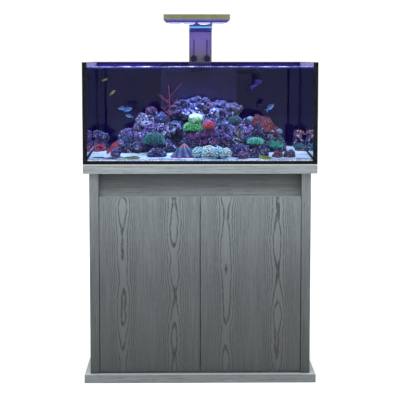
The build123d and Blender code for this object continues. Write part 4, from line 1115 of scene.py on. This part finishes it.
for row in (
    ("red_sponge_corner", (-408, 0, 8), (22, 14, 16), (190, 50, 84), 18, 5),
    ("red_cap_corner", (414, 60, 62), (22, 18, 16), (150, 56, 52), 19, 5),
    ("teal_foot_corner", (412, 10, 8), (20, 14, 14), (30, 110, 110), 16, 5),
    ("purple_lobes_left", (158, -210, BED + 18), (34, 26, 32), (58, 50, 120), 27),
    ("purple_lobes_low", (205, -222, BED + 6), (26, 20, 18), (46, 40, 96), 28),
    ("lilac_lobes", (172, -240, BED + 4), (24, 16, 14), (112, 80, 130), 29),
    ("dusky_lump_right", (300, -215, BED + 4), (14, 12, 12), (120, 60, 80), 30),
    ("brown_lump_right", (350, -205, BED + 6), (16, 14, 14), (60, 44, 60), 31),
    ("cone_rubble", (-172, -190, BED + 8), (34, 28, 22), (50, 46, 100), 41),
    ("pale_head", (140, 10, 162), (36, 30, 34), (92, 88, 116), 61),
    ("dusky_head", (88, 30, 174), (30, 30, 26), (56, 44, 86), 62),
    ("summit_head", (-60, 20, 178), (40, 30, 34), (30, 32, 78), 63),
    ("summit_head_right", (4, 30, 186), (40, 30, 28), (26, 26, 52), 64),
    ("summit_shoulder", (40, 20, 168), (26, 26, 26), (78, 42, 62), 68),
    ("rose_head", (-196, -15, 160), (15, 14, 12), (84, 40, 84), 65),
    ("blue_lump", (-150, -45, 130), (24, 16, 13), (38, 66, 130), 66),
    ("low_head", (-100, 0, 152), (26, 24, 30), (44, 38, 90), 69),
):
    head(*row)

PALE, LAVENDER, BLUE, VIOLET = rgb(196, 212, 255), rgb(132, 116, 220), rgb(60, 120, 206), rgb(104, 60, 150)
for row in (
    ("polyps_peak_left", -205, 136, 120, 70, 90, 3.8, PALE, BLUE, 50),
    ("polyps_mid_left", -230, 91, 190, 80, 120, 3.8, LAVENDER, VIOLET, 51),
    ("polyps_right_of_left", -130, 101, 80, 90, 80, 3.8, PALE, LAVENDER, 52),
    ("polyps_low_left", -250, 41, 220, 60, 90, 3.8, BLUE, VIOLET, 53),
    ("polyps_summit", -10, 176, 130, 60, 110, 3.8, LAVENDER, BLUE, 54),
    ("polyps_shoulder", 10, 156, 150, 50, 90, 3.8, PALE, BLUE, 55),
    ("polyps_centre", 90, 101, 120, 90, 110, 3.8, BLUE, LAVENDER, 56),
    ("polyps_right", 150, 116, 110, 80, 110, 3.8, PALE, VIOLET, 57),
    ("polyps_slope", 170, 101, 100, 80, 80, 4.8, LAVENDER, rgb(190, 110, 200), 58),
    ("polyps_low_centre", 40, 61, 160, 70, 110, 4.4, VIOLET, rgb(176, 60, 150), 59),
    ("polyps_low_right", 270, 41, 160, 60, 90, 4.4, rgb(96, 66, 130), rgb(60, 180, 160), 60),
):
    colony(*row)


def fluted_cone():
    """A fluted cone of overlapping folds, pink at the rim and blue inside the folds."""
    shape = Shape()
    centre = spot(-62, -212, BED - 8)
    radius, height = 0.054, 0.060
    sides, rows = 72, 12
    colours = [rgb(150, 70, 120), rgb(70, 110, 176), rgb(60, 96, 160), rgb(90, 120, 150), rgb(170, 90, 110)]
    rings = []
    for t in (i / rows for i in range(rows + 1)):
        ring = []
        for a in turns(sides):
            fluted = 1 + (0.13 * (1 - t) + 0.02) * math.sin(9 * a + 3 * t)
            r = (radius * (1 - t) ** 0.8 + 0.002) * fluted
            ring.append(centre + Vector((r * math.cos(a), 0.72 * r * math.sin(a), height * t)))
        rings.append(ring)
    shape.rings(rings)
    # painted shade: darker between the folds
    for index in range(len(shape.verts)):  # dark between the folds
        a, t = math.tau * (index % sides) / sides, (index // sides) / rows
        fold = 0.5 + 0.5 * math.sin(9 * a + 3 * t)
        shape.tints[index] = scaled(colours[min(4, int(t * 5))], 0.25 + 1.1 * fold)
    shape.make("fluted_cone", SOFT)


def sea_fan():
    """A bare red sea fan: tapering, slightly crooked branches in a flat plane."""
    rng = random.Random(7)
    shape = Shape()

    def branch(start, way, length, thick, forks=True):
        way = Vector(way).normalized()
        steps = 7
        points, radii = [start], [thick]
        for i in range(steps):
            way = (way + Vector((rng.gauss(0, 0.10), rng.gauss(0, 0.05), rng.gauss(0.03, 0.08)))).normalized()
            points.append(points[-1] + way * length / steps)
            radii.append(thick * (1 - 0.45 * (i + 1) / steps))
        shape.tube(points, radii, 7)
        if forks:
            for side, at in ((1, 2), (-1, 4), (1, 5)):
                lean = (side * rng.uniform(0.5, 0.9), rng.gauss(0, 0.08), rng.uniform(0.35, 0.75))
                branch(points[at], lean, length * rng.uniform(0.28, 0.52), radii[at] * 0.72, False)

    for x, height, way, length, thick in (
        (-122, 100, (0.02, 0, 1), 166, 2.1),
        (-122, 150, (-0.8, 0, 0.75), 46, 1.5),
        (-120, 196, (-0.72, 0, 0.55), 60, 1.6),
        (-120, 175, (0.5, 0, 0.75), 50, 1.4),
    ):
        branch(spot(x, -52, height), way, *mm(length, thick))
    shape.make("sea_fan", flesh("sea_fan_red", (96, 26, 24), (138, 42, 36), (170, 70, 54), 200, glow=0.08))


fluted_cone()
sea_fan()


# ---- fish ---------------------------------------------------------------------------------------------
SCALES = tinted("fish_scales", 0.3, 0.25, 700.0, 0.0004)
FISH_PROFILE = (
    (0.50, 0.02), (0.46, 0.16), (0.36, 0.32), (0.20, 0.46), (0.02, 0.50), (-0.16, 0.40), (-0.30, 0.22),
    (-0.38, 0.12), (-0.42, 0.11),
)
TAIL = (
    (-0.40, 0.04), (-0.50, 0.15), (-0.62, 0.20), (-0.56, 0.0),
    (-0.62, -0.20), (-0.50, -0.15), (-0.40, -0.04),
)
DORSAL = ((0.26, 0.80), (0.12, 1.28), (-0.18, 1.22), (-0.34, 0.75), (-0.28, 0.35), (0.0, 0.85))
ANAL = ((0.02, -0.9), (-0.10, -1.24), (-0.26, -1.05), (-0.34, -0.60), (-0.26, -0.35), (-0.06, -0.75))
SIDE_FIN = ((0.20, 0.0), (0.08, -0.05), (-0.02, -0.02), (0.0, 0.05), (0.10, 0.07))


def fish(name, place, length, heading, pitch, tall, colours):
    """A small reef fish: a lofted body with dorsal, anal, tail and side fins and eyes."""
    shape = Shape()
    back, flank, fin = (rgb(*colour) for colour in colours)
    turn = Matrix.Translation(spot(*place))
    turn = turn @ Matrix.Rotation(heading, 4, "Z") @ Matrix.Rotation(pitch, 4, "Y")

    def at(x, y, z):
        return turn @ (Vector((x, y, z)) * (length / 1000))

    angles = turns(14)
    shape.rings([
        [at(x, 0.36 * h * tall * math.cos(a), h * tall * math.sin(a)) for a in angles]
        for x, h in FISH_PROFILE
    ])
    shape.tints = [back if math.sin(a) > 0.25 else flank for _ in FISH_PROFILE for a in angles]
    for outline, stretch in ((TAIL, 1), (DORSAL, tall * 0.5), (ANAL, tall * 0.5)):
        front, rear = ([at(x, y, z * stretch) for x, z in outline] for y in (0.006, -0.006))
        shape.plate(front, rear, fin)
    for side in (-1, 1):
        eye, faces = ball((0.37, side * 0.118 * tall / 0.42 * 0.9, 0.05), 0.026, 2)
        shape.add([at(*v) for v in eye], faces, (0.005, 0.005, 0.01, 1))
        outer, inner = (
            [at(x, side * (root * tall + flare * (0.2 - x)), z) for x, z in SIDE_FIN]
            for root, flare in ((0.17, 0.10), (0.16, 0.09))
        )
        shape.plate(outer, inner, fin)
    shape.make(name, SCALES)


CHROMIS = ((40, 84, 190), (92, 160, 236), (70, 130, 220))
ANTHIAS = ((150, 150, 50), (200, 190, 80), (170, 160, 60))
for row in (
    ("damsel_1", (-311, -40, 174), 34, math.pi, 0, 0.42, CHROMIS),
    ("damsel_2", (-286, -60, 170), 34, 0.35, -0.35, 0.42, CHROMIS),
    ("damsel_3", (-284, -50, 144), 30, 2.9, -0.3, 0.42, CHROMIS),
    ("damsel_4", (-98, -110, 120), 40, math.pi, 0, 0.36, CHROMIS),
    ("damsel_5", (287, -30, 178), 38, 0.3, -0.7, 0.42, CHROMIS),
    ("anthias", (-350, -20, 238), 34, 0.9, -0.5, 0.3, ANTHIAS),
    ("anthias_small", (-386, 60, 288), 22, 0.4, -0.3, 0.3, ANTHIAS),
    ("tang", (162, -140, 80), 50, 0.5, -1.25, 0.5, ((30, 40, 110), (70, 90, 170), (180, 190, 60))),
):
    fish(*row)


# ---- water ---------------------------------------------------------------------------------------------
def water_material():
    """Clear water that mirrors from inside at its sides, with a glossy rippled top, painted glints in its
    gloss and a faint painted glow.
    """
    g = Graph("water")
    normal = g.bump(g.noise(g.stretched(30, 55, 1), 1.0, 4.0), 0.004, 0.35)
    fresnel = g.shader("Fresnel", {"IOR": 1.33})
    mirror = g.shader("BsdfGlossy", {"Color": (0.80, 0.84, 1, 1), "Roughness": 0.0})
    through = g.shader("BsdfTransparent", {"Color": (0.95, 0.965, 1.0, 1)})
    inside = g.add("ShaderNodeNewGeometry").outputs["Backfacing"]
    side = g.shader("MixShader", {0: g.times(fresnel, inside), 1: through, 2: mirror})
    # painted glints in the top's gloss, and a faint painted glow
    painted_sparkle = g.ramp(g.noise(g.stretched(46, 150, 1), 1.0, 3.0), (0.50, 0.0), (0.60, 1.0))
    colour = g.mix(painted_sparkle, rgb(40, 60, 170), rgb(176, 214, 255))
    film = g.shader("BsdfGlossy", {"Color": colour, "Roughness": 0.12, "Normal": normal})
    glow = g.shader("Emission", {"Color": colour, "Strength": 0.03})
    skin = g.shader("AddShader", {0: g.shader("MixShader", {0: fresnel, 1: through, 2: film}), 1: glow})
    return g.surface(g.shader("MixShader", {0: g.above(g.normal(2), 0.5), 1: side, 2: skin}))


def lines(step, *stops):
    """Grid lines about a step apart that pass through every stop."""
    out = [stops[0]]
    for a, b in zip(stops, stops[1:]):
        count = max(1, round((b - a) / step))
        out += [a + (b - a) * (k + 1) / count for k in range(count)]
    return out


def water():
    """Still water as one closed clear body, cut round the weir."""
    gap = 0.0006
    wide, deep = INNER_X - gap, INNER_Y - gap
    edge_x, edge_y = WEIR_HIGH.x + gap, WEIR_LOW.y - gap

    def top(x, y):
        p = Vector((x, y * 1.4, 0))
        return WATER - 0.002 + 0.0024 * noise.noise(p * 14) + 0.0014 * noise.noise(p * 41)

    def notched(x0, x1, y0, y1):
        return abs(x0 + x1) / 2 < edge_x and (y0 + y1) / 2 > edge_y

    xs, ys = lines(0.007, -wide, -edge_x, edge_x, wide), lines(0.009, -deep, edge_y, deep)
    made = slab("water", xs, ys, top, SAND_TOP - 0.012, notched, water_material(), "tank_glass")
    made.data.set_sharp_from_angle(angle=math.radians(40))


water()


def edging():
    """What lines the panes: silicone along the sand, with painted shade there, dried salt above the water
    with painted lamp light and glow, and a meniscus with painted highlights and glow.
    """
    front, back = -INNER_Y + 0.004, INNER_Y - 0.004
    # a dark bead at the sand's surface: the silicone seam, and painted shade along that line
    beads = Shape()
    for x in (0.0022 - INNER_X, INNER_X - 0.0022):
        depths = [front + (back - front) * k / 24 for k in range(25)]
        rises = [0.010 * min(1.0, (y - front) / SAND_RISE) for y in depths]
        beads.tube([(x, y, SAND_TOP - 0.0125 + rise) for y, rise in zip(depths, rises)], [0.0028] * 25)
    beads.make("sand_line_beads", SILICONE, slot="silicone")

    # dried salt on the panes, its lilac colour and glow painted lamp light
    g = Graph("lamp_lit_salt_film")
    streaks = g.noise(g.stretched(20, 20, 260), 1.0, 3.0)
    shade = g.ramp(streaks, (0.35, rgb(96, 88, 150)), (0.65, rgb(158, 146, 200)))
    salt = g.painted_glow(shade, 0.25, 0.7)
    for side, sign in (("left", -1), ("right", 1)):
        film = Shape()
        inner, outer = sign * (INNER_X - 0.0009), sign * (INNER_X - 0.0003)
        rings = []
        for k in range(31):
            y = front + (back - front) * k / 30
            low = WATER + 0.0015 + 0.0012 * noise.noise(Vector((sign, y * 30, 0)))
            high = RIM - 0.0015 - 0.0010 * noise.noise(Vector((sign, y * 24, 5)))
            corners = ((inner, low), (outer, low), (outer, high), (inner, high))
            rings.append([Vector((x, y, z)) for x, z in corners])
        film.rings(rings)
        film.make(f"lamp_lit_salt_film_{side}", salt, slot="tank_glass", smooth=False)

    # painted highlights: the meniscus is white in places and glows
    g = Graph("meniscus")
    ripple = g.noise(g.stretched(26, 1, 1), 1.0, 6.0, 0.8)
    painted_sparkle = g.ramp(ripple, (0.40, rgb(62, 60, 150)), (0.55, rgb(128, 140, 220)), (0.68, rgb(246, 250, 255)))
    wide = INNER_X - 0.002
    points, radii = [], []
    for k in range(121):
        x = -wide + 2 * wide * k / 120
        lift = 0.0012 * noise.noise(Vector((x * 16, 2, 0)))
        points.append((x, front - 0.0012, WATER + 0.0012 + lift))
        radii.append(0.0011 + 0.0009 * (0.5 + noise.noise(Vector((x * 23, 8, 0)))))
    lip = Shape()
    lip.tube(points, radii, 6)
    lip.make("meniscus", g.painted_glow(painted_sparkle, 0.6, 0.2), slot="tank_glass")


edging()


# ---- light details -------------------------------------------------------------------------------------
def lens_rings():
    """A turned bezel round each lens and a cluster of small emitters behind it."""
    bezels, dots = Shape(), Shape()
    lens = (LENS_HIGH.y - LENS_LOW.y) / 2
    profile = ((0.2, 0), (0.2, -0.9), (0.6, -1.5), (1.2, -1.5), (2.2, -0.6), (2.6, 0), (2.6, 0.1), (0.2, 0.1))

    def around(x, radius, a, z):
        return Vector((x + radius * math.cos(a), LENS_Y + radius * math.sin(a), z))

    for x in LENS_PLACES:
        rings = [[around(x, lens + r / 1000, a, TRAY + z / 1000) for a in turns(48)] for r, z in profile]
        bezels.rings(rings, caps=False)
        for radius, count in ((0.0, 1), (0.008, 6), (0.016, 12)):
            for a in turns(count):
                foot = around(x, radius, a, LENS_LOW.z - 0.0001)
                dots.tube([foot, foot + Vector((0, 0, 0.0012))], [0.0022, 0.0026], 10)
    bezels.make("lens_bezels", moulded("bezel", rgb(58, 42, 150), 0.3), body="light", slot="light_tray")
    dots.make("lens_emitters", emitters(), body="light", slot="lens", smooth=False)


lens_rings()


# ---- cabinet details -----------------------------------------------------------------------------------
def screws():
    """Screw heads on the hinge plates."""
    for side, sign in (("left", -1), ("right", 1)):
        low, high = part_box(f"{side}_hinge_arms")
        inner = high.x if sign > 0 else low.x
        shape = Shape()
        for z in (low.z + 0.023, (low.z + high.z) / 2, high.z - 0.023):
            for dz in (-0.016, 0.016):
                for y in (high.y - 0.012, high.y - 0.046):
                    depths = (0.005, 0.0058, 0.0064)
                    points = [(inner - sign * depth, y, z + dz) for depth in depths]
                    shape.tube(points, [0.0042, 0.0042, 0.003], 16)
        shape.make(f"{side}_plate_screws", NICKEL, slot="hinge_steel", smooth=False)


def grommets():
    """A plastic liner round each cable opening in the rear panel."""
    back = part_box("rear_panel")[1].y
    shape = Shape()
    for x in (-0.270, 0.270):
        rings = []
        for wide, out in ((-0.002, -0.018), (-0.002, 0.0), (-0.001, 0.0015), (0.006, 0.0018), (0.007, 0.0)):
            ring = []
            for c, s in ((math.cos(a), math.sin(a)) for a in turns(40)):
                right, top = (1 if c > 0 else -1), (1 if s > 0 else -1)
                corner = Vector((x + 0.050 * right, back, 0.470 + 0.020 * top))
                ring.append(corner + Vector(((0.010 + wide) * c, out, (0.010 + wide) * s)))
            rings.append(ring)
        shape.rings(rings, caps=False)
    made = shape.make("cable_grommets", RUBBER, slot="pad_rubber")
    made.modifiers.new("wall", "SOLIDIFY").thickness = 0.0012


def sock():
    """A felt bag with soft folds, inside the space of its solid: its outside up, then its inside down."""
    low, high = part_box("filter_sock")
    centre = (low + high) / 2
    radius = (high.x - low.x) / 2
    rows = 26
    rings = []
    for inset, levels in ((0.0, range(rows + 1)), (0.0018, range(rows, -1, -1))):
        for i in levels:
            t = i / rows
            r = radius * 0.97 * (1.0 if t > 0.12 else math.sqrt(max(0.02, 1 - ((0.12 - t) / 0.13) ** 2)))
            r = r * (0.95 + 0.05 * t) - inset - 0.002
            z = low.z + (high.z - low.z) * t + (0.002 if inset and not i else 0)
            ring = []
            for a in turns(64):
                fold = 0.0022 * math.sin(5 * a + 4 * t) * (1 - t) + 0.0010 * math.sin(13 * a - 7 * t)
                out = r + fold
                ring.append(Vector((centre.x + out * math.cos(a), centre.y + out * math.sin(a), z)))
            rings.append(ring)
    shape = Shape()
    shape.rings(rings)
    made = shape.make("felt_sock", felt(), body="sock", slot="sock_felt")
    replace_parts(made, "filter_sock")


screws()
grommets()
sock()

# ---- stage, lights and camera ----------------------------------------------------------------------------
bpy.ops.mesh.primitive_plane_add(size=40, location=(0, 0, FLOOR - 0.0005))
floor = bpy.context.object
floor.name = "studio_floor"
g = Graph("studio_floor")
shade = g.ramp(g.noise(g.place, 3.0, 2.0), (0.3, (0.86, 0.86, 0.86, 1)), (0.7, (0.88, 0.88, 0.88, 1)))
floor.data.materials.append(g.principled(shade, 0.9, Emission_Color=(1, 1, 1, 1), Emission_Strength=0.35))

world = bpy.data.worlds.new("studio")
scene.world = world
world.use_nodes = True
background = world.node_tree.nodes["Background"]
background.inputs["Color"].default_value = (1, 1, 1, 1)
background.inputs["Strength"].default_value = 1.02


def lamp(name, kind, place, aim, **more):
    data = bpy.data.lights.new(name, kind)
    for key, value in more.items():
        setattr(data, key, value)
    made = bpy.data.objects.new(name, data)
    scene.collection.objects.link(made)
    made.location = place
    made.rotation_euler = (Vector(aim) - Vector(place)).to_track_quat("-Z", "Y").to_euler()
    return made


CABINET_MIDDLE = (0, 0, 0.7)
lamp("key", "AREA", (-0.5, -2.6, 3.4), CABINET_MIDDLE, energy=52, shape="RECTANGLE", size=1.6, size_y=1.0)
lamp("fill", "AREA", (2.4, -2.2, 1.8), CABINET_MIDDLE, energy=16, shape="RECTANGLE", size=1.8, size_y=1.8)
for k, x in enumerate(LENS_PLACES):
    reef_lamp = lamp(
        f"reef_lamp_{k + 1}", "SPOT", (x, 0, LENS_LOW.z - 0.004), (x * 1.4, 0, BASE_TOP), energy=7.5,
        color=(0.45, 0.55, 1.0), spot_size=math.radians(84), spot_blend=0.6, shadow_soft_size=0.02,
    )
    bpy.context.view_layer.update()
    place = reef_lamp.matrix_world.copy()
    reef_lamp.parent = frame["bodies"]["light"]
    reef_lamp.matrix_world = place

CAMERA_BACK = 4.5  # from the front glass
CAMERA_LEFT = 0.060
CAMERA_ABOVE_RIM = 0.015
camera_data = bpy.data.cameras.new("camera")
camera = bpy.data.objects.new("camera", camera_data)
scene.collection.objects.link(camera)
scene.camera = camera
camera_data.lens = 106.2
camera_data.sensor_width = 36.0
camera_data.shift_y = -0.09
camera.location = (-CAMERA_LEFT, TANK_LOW.y - CAMERA_BACK, RIM + CAMERA_ABOVE_RIM)
camera.rotation_euler = (math.radians(90 - 5.12), 0, math.radians(-0.75))

scene.view_settings.view_transform = "Standard"
scene.view_settings.look = "None"
